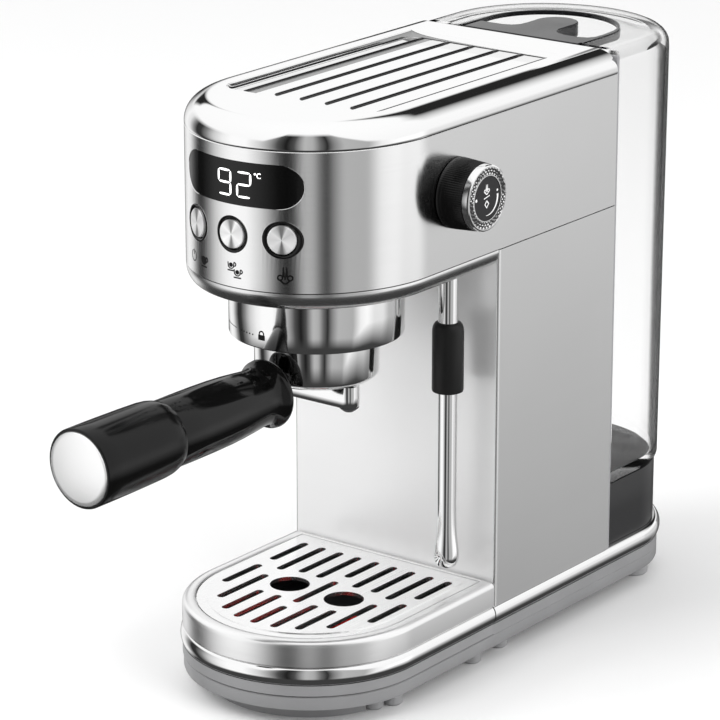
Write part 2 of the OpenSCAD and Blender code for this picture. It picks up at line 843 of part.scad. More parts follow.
module portafilter_bowl() {
    color("silver") shifted() {
        on_group() difference() {
            union() {
                rotate_extrude() polygon([
                    [0, lens_z], [14, lens_z], [24, lens_z + 0.9], [29.5, lens_z + 2.6],
                    [bowl_r, bowl_z], [bowl_r, rim_z - 0.9], [0, rim_z - 0.9]
                ]);
                lug_pair(bowl_r - 1, lug_r, 16, lug_z, lug_z + lug_h);
            }
            translate([0, 0, bowl_z]) cylinder(r = bowl_r - bowl_wall, h = 50);
            translate([0, 0, lens_z - 1]) cylinder(r = 3, h = 10);
        }
        difference() {
            on_handle() translate([0, 0, 24]) cylinder(r = neck_r, h = guard_l - 24);
            on_group() translate([0, 0, lens_z - 10]) cylinder(r = bowl_r - 1, h = 50);
            on_handle() translate([0, 0, 28]) cylinder(r = 3, h = 40);
        }
    }
}

module basket() {
    color("gainsboro") shifted() on_group() rotate_extrude() polygon([
        [0, 176], [22.6, 176], [basket_r + 0.7, 178], [basket_r + 0.7, rim_z - 0.9],
        [31.2, rim_z - 0.9], [31.2, rim_z], [basket_r, rim_z], [basket_r, 178.6], [22.4, 176.8], [0, 176.8]
    ]);
}

// Twin spout: one channel across the bowl with an outlet at each end.
module spout() {
    spout_r = 5.3;
    channel_z = 149.3;
    color("silver") shifted() on_group() difference() {
        union() {
            block([-outlet_x, -spout_r, channel_z], [outlet_x, spout_r, lens_z]);
            for (side = [-1, 1]) translate([side * outlet_x, 0, 0]) rotate_extrude() polygon([
                [0, 147], [2.6, 147], [spout_r, channel_z], [spout_r, lens_z], [0, lens_z]
            ]);
            cylinder_on(lens_z - skin, lens_z + 4, 3);
        }
        for (side = [-1, 1]) translate([side * outlet_x, 0, 0]) cylinder_on(140, 158, 1.7);
        block([-outlet_x, -2.6, 153], [outlet_x, 2.6, 158]);
        cylinder_on(150.5, lens_z + 6, 2);
    }
}

module cylinder_on(low, high, r) {
    translate([0, 0, low]) cylinder(r = r, h = high - low);
}

module handle_bolt() {
    color("silver") shifted() on_handle() {
        cylinder_on(32, 150, 2.9);
        cylinder_on(150 - skin, 156, 5.5);
    }
}

module handle_grip() {
    color("black") shifted() on_handle() rotate_extrude() polygon([
        [3, guard_l], [16.4, guard_l], [17.6, guard_l + 1.2], [17.6, guard_l + 2.6], [15.2, guard_l + 5],
        [14.6, 46], [15.2, 50], [16.3, 62], [16.9, 75], [17.1, 90], [17.1, grip_end], [3, grip_end]
    ]);
}

module handle_sleeve() {
    color("black") shifted() on_handle() rotate_extrude() polygon([
        [3, grip_end], [17.3, grip_end], [19, grip_end + 5], [19.7, grip_end + 26], [19.9, sleeve_end - 10],
        [19.9, sleeve_end - 0.6], [19.4, sleeve_end], [cap_r, sleeve_end], [cap_r, cap_seat], [6, cap_seat],
        [6, 149], [3, 149]
    ]);
}

module handle_cap() {
    color("gainsboro") shifted() on_handle() rotate_extrude() polygon(concat(
        [[0, cap_seat], [cap_r, cap_seat], [cap_r, handle_l - 0.6], [cap_r - 0.6, handle_l]],
        [for (i = [1:6]) let (r = (cap_r - 0.6) * (1 - i / 6))
            [r, handle_l + cap_dome * (1 - pow(r / cap_r, 2))]]
    ));
}

// ---------------------------------------------------------------- drip tray

tray_back = -0.8;
rim_w = 7;
ring_edge = 3.2;
grid_in = rim_w + 0.4;
grid_back = -4;
grid_t = 1.6;
grid_top = tray_z - 0.4;
slot_pitch = 11.7;
slot_w = 4.5;
hole_x = 17.4;
hole_y = -65.9;
hole_r = 10.3;
tub_in = skirt_in + skirt_t;
tub_t = 2;
tub_floor = deck_z + slide_gap;

// Each column of slots: how far from the middle, and the ends of its slots from the column's face.
slot_columns = [
    [0, [[-118.9, -91.6], [-84.3, -49], [-41, -14]]],
    [1, [[-117.6, -81.3], [-50, -14]]],
    [2, [[-112.6, -81.3], [-49.6, -14]]],
    [3, [[-102, -62.5], [-53, -14]]],
    [4, [[-83.6, -53.2], [-44, -14]]]
];

module tray_tub() {
    color("dimgray") shifted() difference() {
        union() {
            slab(tub_floor, band_z) tray_plan(skirt_in, tray_back);
            slab(band_z - skin, tray_z - 6) tray_plan(tub_in, tray_back);
        }
        slab(tub_floor + tub_t, tray_z) tray_plan(tub_in + tub_t, tray_back - tub_t);
    }
    color("dimgray") shifted() on_float() {
        translate([0, 0, tub_floor + tub_t - skin]) cylinder(r = 1.8, h = 12);
    }
}

module tray_band() {
    color("silver") shifted() difference() {
        band_solid();
        slab(band_z - 1, panel_z + 1) base_plan(tub_in);
        block([-body_w, tray_back, 0], [body_w, base_back + 10, panel_z + 1]);
    }
}

// The brushed ring round the grid, with a ledge that the grid lies on.
module tray_ring() {
    color("lightgray") shifted() difference() {
        hull() {
            slab(panel_z, panel_z + skin) tray_plan(0, tray_back);
            for (a = [0:18:90]) {
                z = tray_z - ring_edge + (ring_edge - skin) * sin(a);
                slab(z - skin, z) tray_plan(ring_edge * (1 - cos(a)), tray_back - ring_edge * (1 - cos(a)) / 4);
            }
        }
        slab(panel_z - 1, tray_z - 6 + skin) tray_plan(tub_in, tray_back + 1);
        slab(grid_top - grid_t, tray_z + 1) tray_plan(rim_w, grid_back + 0.4);
        slab(tray_z - 7, tray_z + 1) tray_plan(rim_w + 3.5, grid_back - 3);
    }
}

module slot(x, y0, y1) {
    r = slot_w / 2;
    for (y = [y0 + r, y1 - r]) translate([x, y]) circle(r = r);
    translate([x - r, y0 + r]) square([slot_w, y1 - y0 - slot_w]);
}

module drip_grid() {
    color("white") shifted() difference() {
        union() {
            slab(grid_top - grid_t, grid_top) tray_plan(grid_in, grid_back);
            slab(grid_top - skin, tray_z) tray_plan(grid_in + 5.3, -11.5);
        }
        slab(grid_top - 5, tray_z + 1) {
            for (column = slot_columns, ends = column[1], side = column[0] == 0 ? [1] : [-1, 1])
                slot(side * column[0] * slot_pitch, ends[0], ends[1]);
        }
        for (side = [-1, 1]) {
            translate([side * hole_x, hole_y, grid_top - 5]) cylinder(r = hole_r, h = 10);
        }
    }
}

module on_float() {
    translate([hole_x, hole_y, 0]) children();
}

// Red level float on a guide pin; its button comes up under the right hole of the grid.
module tray_float() {
    low = tub_floor + tub_t + 0.5;
    color("red") shifted() difference() {
        union() {
            block([4, -112, low], [31, -55, low + 9]);
            on_float() translate([0, 0, low]) cylinder(r = 8.5, h = 15);
        }
        on_float() translate([0, 0, low - 1]) cylinder(r = 2.2, h = 13.5);
    }
}

// ---------------------------------------------------------------- tank

seat_front = column_depth + wall_t;
tank_front = seat_front + 0.8;
hump_in = 9;
socket_z = 62;
socket_y = 128;
socket_r = 8.3;
rim_low = 294;

// The black seat behind the column, with the hump and the socket that the tank's foot drops over.
module tank_seat() {
    color("#262626") shifted() difference() {
        union() {
            difference() {
                union() {
                    slab(panel_z, seat_z) seat_plan(0, seat_front);
                    slab(seat_z - skin, hump_z) tank_plan(hump_in, tank_front + 6);
                }
                slab(panel_z - 1, seat_z - 3) seat_plan(3, seat_front + 3);
                slab(panel_z - 1, hump_z - 3) tank_plan(hump_in + 3, tank_front + 9);
            }
            bar_z(socket_z, hump_z - 1, 0, socket_y, socket_r + 2.5);
        }
        bar_z(socket_z + 3, hump_z + 1, 0, socket_y, socket_r);
        bar_z(socket_z - 1, socket_z + 4, 0, socket_y, 3);
        bar_y(seat_front - 1, seat_front + 4, 0, 55, hose_r + gap);
    }
}

module seat_plan(inset, front) {
    rear_d(half_w - 3 - inset, base_back - 3 - inset, base_back_curve - 3 - inset, front);
}

module tank_body() {
    edge = 6;
    color([0.85, 0.9, 0.92, 0.5]) shifted() difference() {
        hull() {
            slab(seat_z + slide_gap, seat_z + slide_gap + skin) tank_plan(1, tank_front);
            slab(rim_low, rim_low + skin) tank_plan(0, tank_front);
            for (a = [0:22.5:90]) {
                z = top_z - 2 - edge + (edge - skin) * sin(a);
                slab(z, z + skin) tank_plan(edge * (1 - cos(a)), tank_front + (1 - cos(a)));
            }
        }
        slab(hump_z + 3.4, rim_low) tank_plan(1 + tank_wall, tank_front + tank_wall);
        slab(rim_low - skin, top_z) tank_plan(17, tank_front + 14);
        slab(seat_z - 1, hump_z + 0.6) tank_plan(hump_in - 0.6, tank_front + 5.4);
        translate([0, socket_y, 60]) cylinder(r = 6, h = 40);
        block([-44, tank_front + 2.4, rim_low - skin], [52, tank_front + 14 + skin, top_z]);
    }
}

module tank_handle() {
    high = top_z - 2.6;
    color("#2b2b2b") shifted() difference() {
        union() {
            block([-44, tank_front + 2.4, high - 8], [52, tank_front + 13.8, high]);
            slab(high - 3, high) {
                translate([6, 136]) circle(r = 22);
                translate([-30, 118]) square([64, 12]);
            }
        }
        slab(high - 20, high + 1) {
            translate([34, 133.5]) circle(r = 7);
            translate([14, 129.5]) square([26, 5]);
        }
    }
}

module tank_valve() {
    color("white") shifted() translate([0, socket_y, 0]) {
        rotate_extrude() polygon([
            [0, 74], [8, 74], [8, hump_z + 0.5], [6, hump_z + 0.5], [6, hump_z + 3.4],
            [9, hump_z + 3.4], [9, hump_z + 16], [0, hump_z + 16]
        ]);
    }
}

base_floor();
base_skirt();
base_band();
feet();
chassis();
column_front();
side_panels();
back_wall();
head_shell();
head_base();
top_cover();
cup_plate();
display_window();
control_board();
button_bezels();
group_collar();
group_head();
group_gasket();
shower_screen();
shower_screw();
boiler_base();
boiler_top();
boiler_bolts();
thermostat();
pump_body();
pump_coil();
pump_mounts();
power_board();
steam_valve();
water_hoses();
steam_pipe();
tank_seat();
cord_inlet();
case_screws();
button(-1);  // button_left
button(0);  // button_middle
button(1);  // button_right
valve_stem();
knob_body();
knob_ring();
knob_disc();
wand_yoke();
wand_pipe();
wand_grip();
wand_tip();
portafilter_bowl();
basket();
spout();
handle_bolt();
handle_grip();
handle_sleeve();
handle_cap();
tray_tub();
tray_band();
tray_ring();
drip_grid();
tray_float();
tank_body();
tank_handle();
tank_valve();
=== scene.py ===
"""Looks of the espresso machine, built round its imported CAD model.

Shapes are drawn in the design frame, in millimetres: x = 0 on the middle plane, y = 0 on the
column's front face, +Y to the rear, z = 0 on the ground. place() turns them into the row frame.
"""
import json
import math

import bmesh
import bpy
from mathutils import Matrix, Vector

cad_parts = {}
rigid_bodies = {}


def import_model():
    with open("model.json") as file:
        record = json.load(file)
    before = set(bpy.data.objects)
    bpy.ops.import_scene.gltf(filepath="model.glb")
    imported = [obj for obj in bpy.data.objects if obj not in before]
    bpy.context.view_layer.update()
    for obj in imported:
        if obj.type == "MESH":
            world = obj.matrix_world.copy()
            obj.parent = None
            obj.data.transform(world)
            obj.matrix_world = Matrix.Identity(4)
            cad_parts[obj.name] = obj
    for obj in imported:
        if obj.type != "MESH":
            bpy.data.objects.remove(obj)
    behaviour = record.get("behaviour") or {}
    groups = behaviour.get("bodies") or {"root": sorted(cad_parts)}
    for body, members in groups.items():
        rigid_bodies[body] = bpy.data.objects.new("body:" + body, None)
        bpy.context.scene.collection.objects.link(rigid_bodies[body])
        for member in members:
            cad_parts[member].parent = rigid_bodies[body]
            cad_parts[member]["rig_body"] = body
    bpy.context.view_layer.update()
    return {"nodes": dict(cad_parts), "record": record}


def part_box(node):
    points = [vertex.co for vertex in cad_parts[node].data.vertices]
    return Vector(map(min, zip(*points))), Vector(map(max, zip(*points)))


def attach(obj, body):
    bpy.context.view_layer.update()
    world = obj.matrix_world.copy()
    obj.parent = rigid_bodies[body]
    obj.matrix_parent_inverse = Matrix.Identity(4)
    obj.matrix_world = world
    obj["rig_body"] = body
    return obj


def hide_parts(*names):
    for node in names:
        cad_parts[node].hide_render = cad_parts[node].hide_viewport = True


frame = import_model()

MM = 0.001
LOW_PANEL, HIGH_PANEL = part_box("side_panels")
ORIGIN = Vector(((LOW_PANEL.x + HIGH_PANEL.x) / 2, LOW_PANEL.y, 0))


def place(x, y, z):
    return ORIGIN + Vector((x, y, z)) * MM


def span(*nodes):
    """Lowest and highest corner of some CAD nodes, in the design frame."""
    boxes = [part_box(node) for node in nodes]
    low = Vector(min(box[0][k] for box in boxes) for k in range(3))
    high = Vector(max(box[1][k] for box in boxes) for k in range(3))
    return (low - ORIGIN) / MM, (high - ORIGIN) / MM


def middle(node):
    low, high = span(node)
    return (low + high) / 2


# ---- sizes from the frame

HALF = span("side_panels")[1].x
COLUMN = span("side_panels")[1].y
PANEL_Z = span("side_panels")[0].z
SEAM_Z = span("side_panels")[1].z
COVER_Z = span("head_shell")[1].z
TOP_Z = span("top_cover")[1].z
HEAD_REACH = -span("head_shell")[0].y
HEAD_Z = span("head_base")[0].z
BASE_REACH = -span("tray_ring")[0].y
SKIRT_IN = HALF - span("base_skirt")[1].x
BASE_BACK = span("base_skirt")[1].y + SKIRT_IN
FOOT_Z = span("base_skirt")[0].z
DECK_Z = span("column_front")[0].z
BAND_Z = span("tray_band")[0].z
TRAY_Z = span("tray_ring")[1].z
TRAY_BACK = span("tray_ring")[1].y
TANK_BACK = span("tank_body")[1].y
TANK_FRONT = span("tank_body")[0].y
TANK_LOW = span("tank_body")[0].z
GROUP_Y = -middle("group_collar").y
COLLAR_R = span("group_collar")[1].x
COLLAR_Z = span("group_collar")[0].z
BUTTON_R = (span("button_middle")[1].x - span("button_middle")[0].x) / 2
BUTTON_Z = middle("button_middle").z
BEZEL_R = (span("button_bezels")[1].z - span("button_bezels")[0].z) / 2
KNOB_Y = -middle("knob_disc").y
KNOB_Z = middle("knob_disc").z
KNOB_R = (span("knob_body")[1].y - span("knob_body")[0].y) / 2
KNOB_FACE = span("knob_ring")[1].x
WAND_X = middle("wand_tip").x
WAND_Y = -middle("wand_tip").y

# Sizes that no box gives, as in the CAD model
HEAD_CURVE = 70.4
BASE_CURVE = 63.8
BASE_BACK_CURVE = 57.4
LIP_IN = 6.4
BAND_EDGE = 1.9
BULGE = 2.9
BUTTON_PITCH = 26
HANDLE_Z = 162.9
HANDLE_DROP = math.radians(1.9)
HANDLE_SHORT = math.radians(3.5)
BALL_Z = 219.5
END_STEPS = 96


def steps(start, end, count):
    return [start + (end - start) * i / count for i in range(count + 1)]


def rad(*degrees):
    return [math.radians(d) for d in degrees]


def arc(u, v, r, start, end, count=16):
    return [(u + r * math.cos(a), v + r * math.sin(a)) for a in steps(*rad(start, end), count)]


def shifted(points, du, dv):
    return [(u + du, v + dv) for u, v in points]


def lifted(points, z):
    return [(x, y, z) for x, y in points]


def head_y(x):
    return HEAD_CURVE - HEAD_REACH - HEAD_CURVE * math.sqrt(max(0, 1 - (x / HALF) ** 2))


def head_turn(x):
    """How far the head's front is turned away from -Y at x."""
    return math.atan2(x * HEAD_CURVE ** 2, HALF ** 2 * (HEAD_CURVE - HEAD_REACH - head_y(x)))


# ---- materials

MATERIALS = {}


def material(name, colour, roughness, metal=0.0, build=None, **sockets):
    """A Principled material, kept in MATERIALS. build(nodes, links, shader) adds its detail."""
    mat = bpy.data.materials.new(name)
    mat.use_nodes = True
    nodes, links = mat.node_tree.nodes, mat.node_tree.links
    shader = nodes["Principled BSDF"]
    shader.inputs["Base Color"].default_value = (*colour, 1)
    shader.inputs["Roughness"].default_value = roughness
    shader.inputs["Metallic"].default_value = metal
    for key, value in sockets.items():
        shader.inputs[key.replace("_", " ")].default_value = value
    if build:
        build(nodes, links, shader)
    MATERIALS[name] = mat
    return mat


def noise(nodes, links, scale, detail=3.0, stretch=(1, 1, 1), turn=(0, 0, 0)):
    """Noise over the object's own space, in cells per metre."""
    coords = nodes.new("ShaderNodeTexCoord")
    mapping = nodes.new("ShaderNodeMapping")
    texture = nodes.new("ShaderNodeTexNoise")
    mapping.inputs["Scale"].default_value = stretch
    mapping.inputs["Rotation"].default_value = turn
    texture.inputs["Scale"].default_value = scale
    texture.inputs["Detail"].default_value = detail
    links.new(coords.outputs["Object"], mapping.inputs["Vector"])
    links.new(mapping.outputs["Vector"], texture.inputs["Vector"])
    return texture.outputs["Fac"]


def feed(links, socket, value):
    """Sets a socket to a number or a colour, or links it to an output."""
    if isinstance(value, (int, float, tuple)):
        socket.default_value = value
    else:
        links.new(value, socket)


def calculated(nodes, links, operation, *values, clamp=False):
    node = nodes.new("ShaderNodeMath")
    node.operation = operation
    node.use_clamp = clamp
    for socket, value in zip(node.inputs, values):
        feed(links, socket, value)
    return node.outputs["Value"]


def spread(nodes, links, value, low, high):
    ranged = nodes.new("ShaderNodeMapRange")
    ranged.inputs["From Min"].default_value = 0.3
    ranged.inputs["From Max"].default_value = 0.7
    ranged.inputs["To Min"].default_value = low
    ranged.inputs["To Max"].default_value = high
    links.new(value, ranged.inputs["Value"])
    return ranged.outputs["Result"]


def bump(nodes, links, shader, height, strength, distance=0.0002):
    node = nodes.new("ShaderNodeBump")
    node.inputs["Strength"].default_value = strength
    node.inputs["Distance"].default_value = distance
    links.new(height, node.inputs["Height"])
    links.new(node.outputs["Normal"], shader.inputs["Normal"])


def tint(nodes, links, shader, value, dark, light):
    node = nodes.new("ShaderNodeValToRGB")
    for element, position, colour in zip(node.color_ramp.elements, (0.3, 0.7), (dark, light)):
        element.position = position
        element.color = (*colour, 1)
    links.new(value, node.inputs["Fac"])
    links.new(node.outputs["Color"], shader.inputs["Base Color"])


def brushed(name, tone, roughness, stretch, strength=0.03, stretched=0.0, metal=1.0):
    """Steel with fine brush lines, which run along the axes that stretch keeps small."""
    def build(nodes, links, shader):
        lines = noise(nodes, links, 30, 2, stretch)
        patches = noise(nodes, links, 9, 2)
        links.new(spread(nodes, links, lines, roughness * 0.92, roughness * 1.08), shader.inputs["Roughness"])
        tint(nodes, links, shader, patches, (tone * 0.97,) * 3, (tone,) * 3)
        bump(nodes, links, shader, lines, strength, 0.00003)
    turned = {"Anisotropic": stretched, "Anisotropic_Rotation": 0.25}
    return material(name, (tone,) * 3, roughness, metal, build, **turned)


def spun(name, tone, roughness):
    """Steel turned on a lathe. The wedges of its highlight are painted round the piece's z axis."""
    def build(nodes, links, shader):
        tangent = nodes.new("ShaderNodeTangent")
        tangent.direction_type = "RADIAL"
        tangent.axis = "Z"
        links.new(tangent.outputs["Tangent"], shader.inputs["Tangent"])
        patches = noise(nodes, links, 400, 3)
        links.new(spread(nodes, links, patches, roughness * 0.9, roughness * 1.1), shader.inputs["Roughness"])
        coords = nodes.new("ShaderNodeTexCoord")
        parts = nodes.new("ShaderNodeSeparateXYZ")
        links.new(coords.outputs["Object"], parts.inputs["Vector"])
        angle = calculated(nodes, links, "ARCTAN2", parts.outputs["Y"], parts.outputs["X"])
        turn = calculated(nodes, links, "MULTIPLY_ADD", angle, 0.5 / math.pi, 0.5)
        links.new(ramp(nodes, links, turn, PAINTED_HIGHLIGHT_WEDGES), shader.inputs["Base Color"])
    return material(name, (tone,) * 3, roughness, 0.5, build, Anisotropic=0.8, Anisotropic_Rotation=0.25)


# Painted highlight and reflection wedges: tone of the turned steel round its centre, as shares of a turn from
# the piece's -x side
PAINTED_HIGHLIGHT_WEDGES = [(0, 0.80), (0.10, 0.96), (0.19, 0.80), (0.235, 0.20), (0.27, 0.20), (0.32, 0.78), (0.40, 0.96),
          (0.5, 0.84), (0.60, 0.70), (0.68, 0.90), (0.725, 0.26), (0.77, 0.22), (0.82, 0.66),
          (0.90, 0.96), (1, 0.80)]


def ramp(nodes, links, value, stops):
    node = nodes.new("ShaderNodeValToRGB")
    elements = node.color_ramp.elements
    while len(elements) < len(stops):
        elements.new(1.0)
    for element, (position, tone) in zip(elements, stops):
        element.position = position
        element.color = (tone, tone, tone, 1)
    links.new(value, node.inputs["Fac"])
    return node.outputs["Color"]


def polished(name, tone, roughness):
    """Chrome: very slightly uneven, with faint wipe marks in its gloss."""
    def build(nodes, links, shader):
        wipes = noise(nodes, links, 26, 4)
        links.new(spread(nodes, links, wipes, roughness * 0.7, roughness * 1.4), shader.inputs["Roughness"])
        bump(nodes, links, shader, noise(nodes, links, 60, 1), 0.05, 0.00004)
    return material(name, (tone,) * 3, roughness, 1.0, build)


def moulded(name, colour, roughness, grain=0.15, scale=2500, **sockets):
    """Moulded plastic or rubber with a fine grain."""
    def build(nodes, links, shader):
        fine = noise(nodes, links, scale, 3)
        broad = noise(nodes, links, 40, 2)
        links.new(spread(nodes, links, broad, roughness * 0.85, roughness * 1.15), shader.inputs["Roughness"])
        tint(nodes, links, shader, broad, [c * 0.93 for c in colour], [min(1, c * 1.05) for c in colour])
        bump(nodes, links, shader, fine, grain, 0.00005)
    return material(name, colour, roughness, 0.0, build, **sockets)


# Painted shade of the clear plastic, in place of the dark edges that refraction gives: its tone from seen
# square to seen edge on, and how much less a level surface counts
PAINTED_EDGE_SHADE = [(0, 0.96), (0.5, 0.95), (0.64, 0.82), (0.69, 0.22), (0.73, 0.02), (1, 0.002)]
LEVEL_RELIEF = -0.13


def clear(name):
    """Clear moulded plastic, with a faint haze in its gloss. Shade is painted into its colour where it is
    seen edge on, standing in for refraction.
    """
    def build(nodes, links, shader):
        haze = noise(nodes, links, 30, 3)
        links.new(spread(nodes, links, haze, 0.015, 0.05), shader.inputs["Roughness"])
        weight = nodes.new("ShaderNodeLayerWeight")
        weight.inputs["Blend"].default_value = 0.5
        geometry = nodes.new("ShaderNodeNewGeometry")
        parts = nodes.new("ShaderNodeSeparateXYZ")
        links.new(geometry.outputs["Normal"], parts.inputs["Vector"])
        level = calculated(nodes, links, "ABSOLUTE", parts.outputs["Z"])
        edge_on = calculated(nodes, links, "MULTIPLY_ADD", level, LEVEL_RELIEF, weight.outputs["Facing"])
        links.new(ramp(nodes, links, edge_on, PAINTED_EDGE_SHADE), shader.inputs["Base Color"])
    return material(name, (0.985, 0.99, 0.99), 0.03, 0.0, build, Transmission_Weight=1.0, IOR=1.10)


ALONG_Y = (40, 0.15, 40)
LEVEL = (0.2, 0.2, 60)

brushed("satin_steel", 0.90, 0.19, LEVEL, 0.02, 0.6)
brushed("column_steel", 0.86, 0.34, LEVEL, 0.03, 0.5)
polished("polished_steel", 0.90, 0.06)
brushed("ring_steel", 0.94, 0.30, (1, 1, 40))
brushed("grid_steel", 0.98, 0.26, ALONG_Y, 0.02)
moulded("grey_plastic", (0.26, 0.26, 0.265), 0.40)
brushed("lip_grey", 0.85, 0.24, LEVEL, 0.02)
moulded("dark_plastic", (0.014, 0.014, 0.015), 0.34, Specular_IOR_Level=0.35)
moulded("tub_plastic", (0.035, 0.035, 0.037), 0.45, Specular_IOR_Level=0.3)
moulded("foot_rubber", (0.50, 0.50, 0.51), 0.40, Transmission_Weight=0.35)
moulded("black_rubber", (0.010, 0.010, 0.010), 0.40, 0.3, 1800, Specular_IOR_Level=0.25)
moulded("gloss_black", (0.003, 0.003, 0.003), 0.09, 0.02, Specular_IOR_Level=0.30)
moulded("sleeve_black", (0.003, 0.003, 0.003), 0.15, 0.04, Specular_IOR_Level=0.24)
moulded("chassis_paint", (0.10, 0.12, 0.125), 0.5)
moulded("wall_paint", (0.30, 0.30, 0.31), 0.40)
moulded("board_green", (0.02, 0.10, 0.045), 0.45)
brushed("cast_aluminium", 0.62, 0.42, (1, 1, 1), 0.4)
brushed("screw_steel", 0.62, 0.30, (1, 1, 8))
moulded("ceramic", (0.72, 0.66, 0.52), 0.55)
moulded("pump_brass", (0.72, 0.52, 0.22), 0.30, 0.1, 300, Metallic=1.0)
moulded("coil_red", (0.22, 0.02, 0.015), 0.35)
moulded("hose_silicone", (0.80, 0.80, 0.78), 0.45)
moulded("copper_pipe", (0.80, 0.40, 0.25), 0.25, 0.1, 300, Metallic=1.0)
moulded("float_red", (0.55, 0.012, 0.010), 0.22, 0.03)
clear("clear_plastic")
moulded("bridge_plastic", (0.012, 0.012, 0.013), 0.20, 0.03, Specular_IOR_Level=0.2)
moulded("valve_white", (0.78, 0.78, 0.78), 0.40)
SPUN = spun("spun_steel", 0.95, 0.36)
# The ridges' and the drain's dark tones stand in for dark reflections
RIDGE_PAINTED_REFLECTION = polished("ridge_painted_reflection", 0.06, 0.12)
FRONT_STEEL = brushed("front_steel", 0.94, 0.36, LEVEL, 0.02, 0.0, 0.5)
CAP_STEEL = brushed("cap_steel", 0.98, 0.24, (1, 1, 1), 0.02, 0.0, 0.8)
# The drain's grey is a painted reflection
DRAIN_PAINTED_REFLECTION = brushed("drain_painted_reflection", 0.36, 0.3, ALONG_Y)
DISC_BLACK = moulded("disc_black", (0.012, 0.012, 0.013), 0.30, 0.1, Specular_IOR_Level=0.3)
INK = moulded("printed_ink", (0.004, 0.004, 0.004), 0.5, Specular_IOR_Level=0.2)
PALE_INK = moulded("pale_ink", (0.03, 0.03, 0.03), 0.5)
WHITE_INK = moulded("white_ink", (0.86, 0.86, 0.86), 0.45)
GLOW = moulded("display_glow", (0.9, 0.9, 0.9), 0.4, Emission_Color=(1, 1, 1, 1), Emission_Strength=1.4)
for entry in frame["record"]["subparts"]:
    node_mesh = frame["nodes"][entry["node"]].data
    node_mesh.materials.clear()
    node_mesh.materials.append(MATERIALS[entry["material_slot"]])
frame["nodes"]["column_front"].data.materials[0] = FRONT_STEEL
SLOT_OF = {entry["node"]: entry["material_slot"] for entry in frame["record"]["subparts"]}


# ---- mesh helpers

def loft(rings, closed=False, wrap=True):
    """Joins rings of the same number of points. closed joins the last ring to the first."""
    count = len(rings[0])
    verts = [point for ring in rings for point in ring]
    faces = []
    for i in range(len(rings) if closed else len(rings) - 1):
        here, there = i * count, (i + 1) % len(rings) * count
        for k in range(count if wrap else count - 1):
            n = (k + 1) % count
            faces.append((here + k, here + n, there + n, there + k))
    if not closed and wrap:
        faces.append(tuple(range(count)))
        faces.append(tuple(range((len(rings) - 1) * count, len(rings) * count)))
    return verts, faces


def join(*parts):
    verts, faces = [], []
    for part_verts, part_faces in parts:
        start = len(verts)
        verts += part_verts
        faces += [tuple(start + i for i in face) for face in part_faces]
    return verts, faces


def lathe(profile, count=96):
    """Turns a profile [(r, z)] round the z axis."""
    on_axis = profile[0][0] == 0 and profile[-1][0] == 0
    rings = []
    for a in steps(0, 2 * math.pi, count)[:-1]:
        rings.append([(r * math.cos(a), r * math.sin(a), z) for r, z in profile])
    return loft(rings, closed=True, wrap=not on_axis)


def sweep(path, profile, closed):
    """Carries a closed profile [(inset, z)] along the outline path(inset)."""
    outlines = [path(inset) for inset, _ in profile]
    rings = []
    for i in range(len(outlines[0])):
        rings.append([(*outline[i], z) for outline, (_, z) in zip(outlines, profile)])
    return loft(rings, closed)


def stack(path, profile):
    """A solid from outlines path(inset) at the heights of a profile [(inset, z)]."""
    return loft([lifted(path(inset), z) for inset, z in profile])


def prism(outline, low, high):
    return loft([lifted(outline, z) for z in (low, high)])


def moved(geometry, matrix):
    verts, faces = geometry
    return [tuple(matrix @ Vector(v)) for v in verts], faces


def rounding(edge, low, high, start=0.0, end=90.0, count=8):
    """Profile points of a rounded edge from its side at low to its top at high."""
    points = []
    for a in steps(*rad(start, end), count):
        points.append((edge * (1 - math.cos(a)), low + (high - low) * math.sin(a)))
    return points


def tidy_mesh(mesh, angle):
    work = bmesh.new()
    work.from_mesh(mesh)
    bmesh.ops.remove_doubles(work, verts=work.verts, dist=1e-6)
    bmesh.ops.recalc_face_normals(work, faces=work.faces)
    work.to_mesh(mesh)
    work.free()
    mesh.shade_smooth()
    mesh.set_sharp_from_angle(angle=math.radians(angle))


def plain(name, geometry, matrix=None, angle=30):
    """A mesh object. With a matrix its points are in its own millimetres."""
    verts, faces = geometry
    mesh = bpy.data.meshes.new(name)
    mesh.from_pydata([Vector(v) * MM if matrix else place(*v) for v in verts], [], faces)
    tidy_mesh(mesh, angle)
    obj = bpy.data.objects.new(name, mesh)
    bpy.context.scene.collection.objects.link(obj)
    if matrix:
        obj.matrix_world = matrix
    return obj


def bevel(obj, width, segments=3, angle=40):
    edges = obj.modifiers.new("edges", "BEVEL")
    edges.width = width * MM
    edges.segments = segments
    edges.limit_method = "ANGLE"
    edges.angle_limit = math.radians(angle)
    edges.harden_normals = True


def cut(obj, *cutters, operation="DIFFERENCE", angle=30):
    """Applies a boolean with each cutter and removes the cutters."""
    for cutter in cutters:
        modifier = obj.modifiers.new("cut", "BOOLEAN")
        modifier.operation = operation
        modifier.solver = "EXACT"
        modifier.object = cutter
        graph = bpy.context.evaluated_depsgraph_get()
        mesh = bpy.data.meshes.new_from_object(obj.evaluated_get(graph))
        obj.modifiers.clear()
        obj.data = mesh
        bpy.data.objects.remove(cutter)
    tidy_mesh(obj.data, angle)


def finish(obj, body, slot, *nodes, look=None):
    """Gives a piece its material, from its slot unless a look is given, puts it on its body and hides the CAD
    nodes that it stands for.
    """
    obj.data.materials.clear()
    obj.data.materials.append(look or MATERIALS[slot])
    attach(obj, body)
    if nodes:
        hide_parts(*nodes)
    return obj


def instead(node, name, geometry, matrix=None, angle=30, look=None):
    """A finer piece in place of one CAD node, which it hides, on that node's body and with the material of
    that node's slot unless a look is given.
    """
    obj = plain(name, geometry, matrix, angle)
    return finish(obj, frame["nodes"][node]["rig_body"], SLOT_OF[node], node, look=look)


# ---- outlines

def front_end(half, reach, curve):
    return [(-half * math.cos(a), curve - reach - curve * math.sin(a)) for a in steps(0, math.pi, END_STEPS)]


def rear_end(half, back, curve):
    return [(half * math.cos(a), back - curve + curve * math.sin(a)) for a in steps(0, math.pi, END_STEPS)]


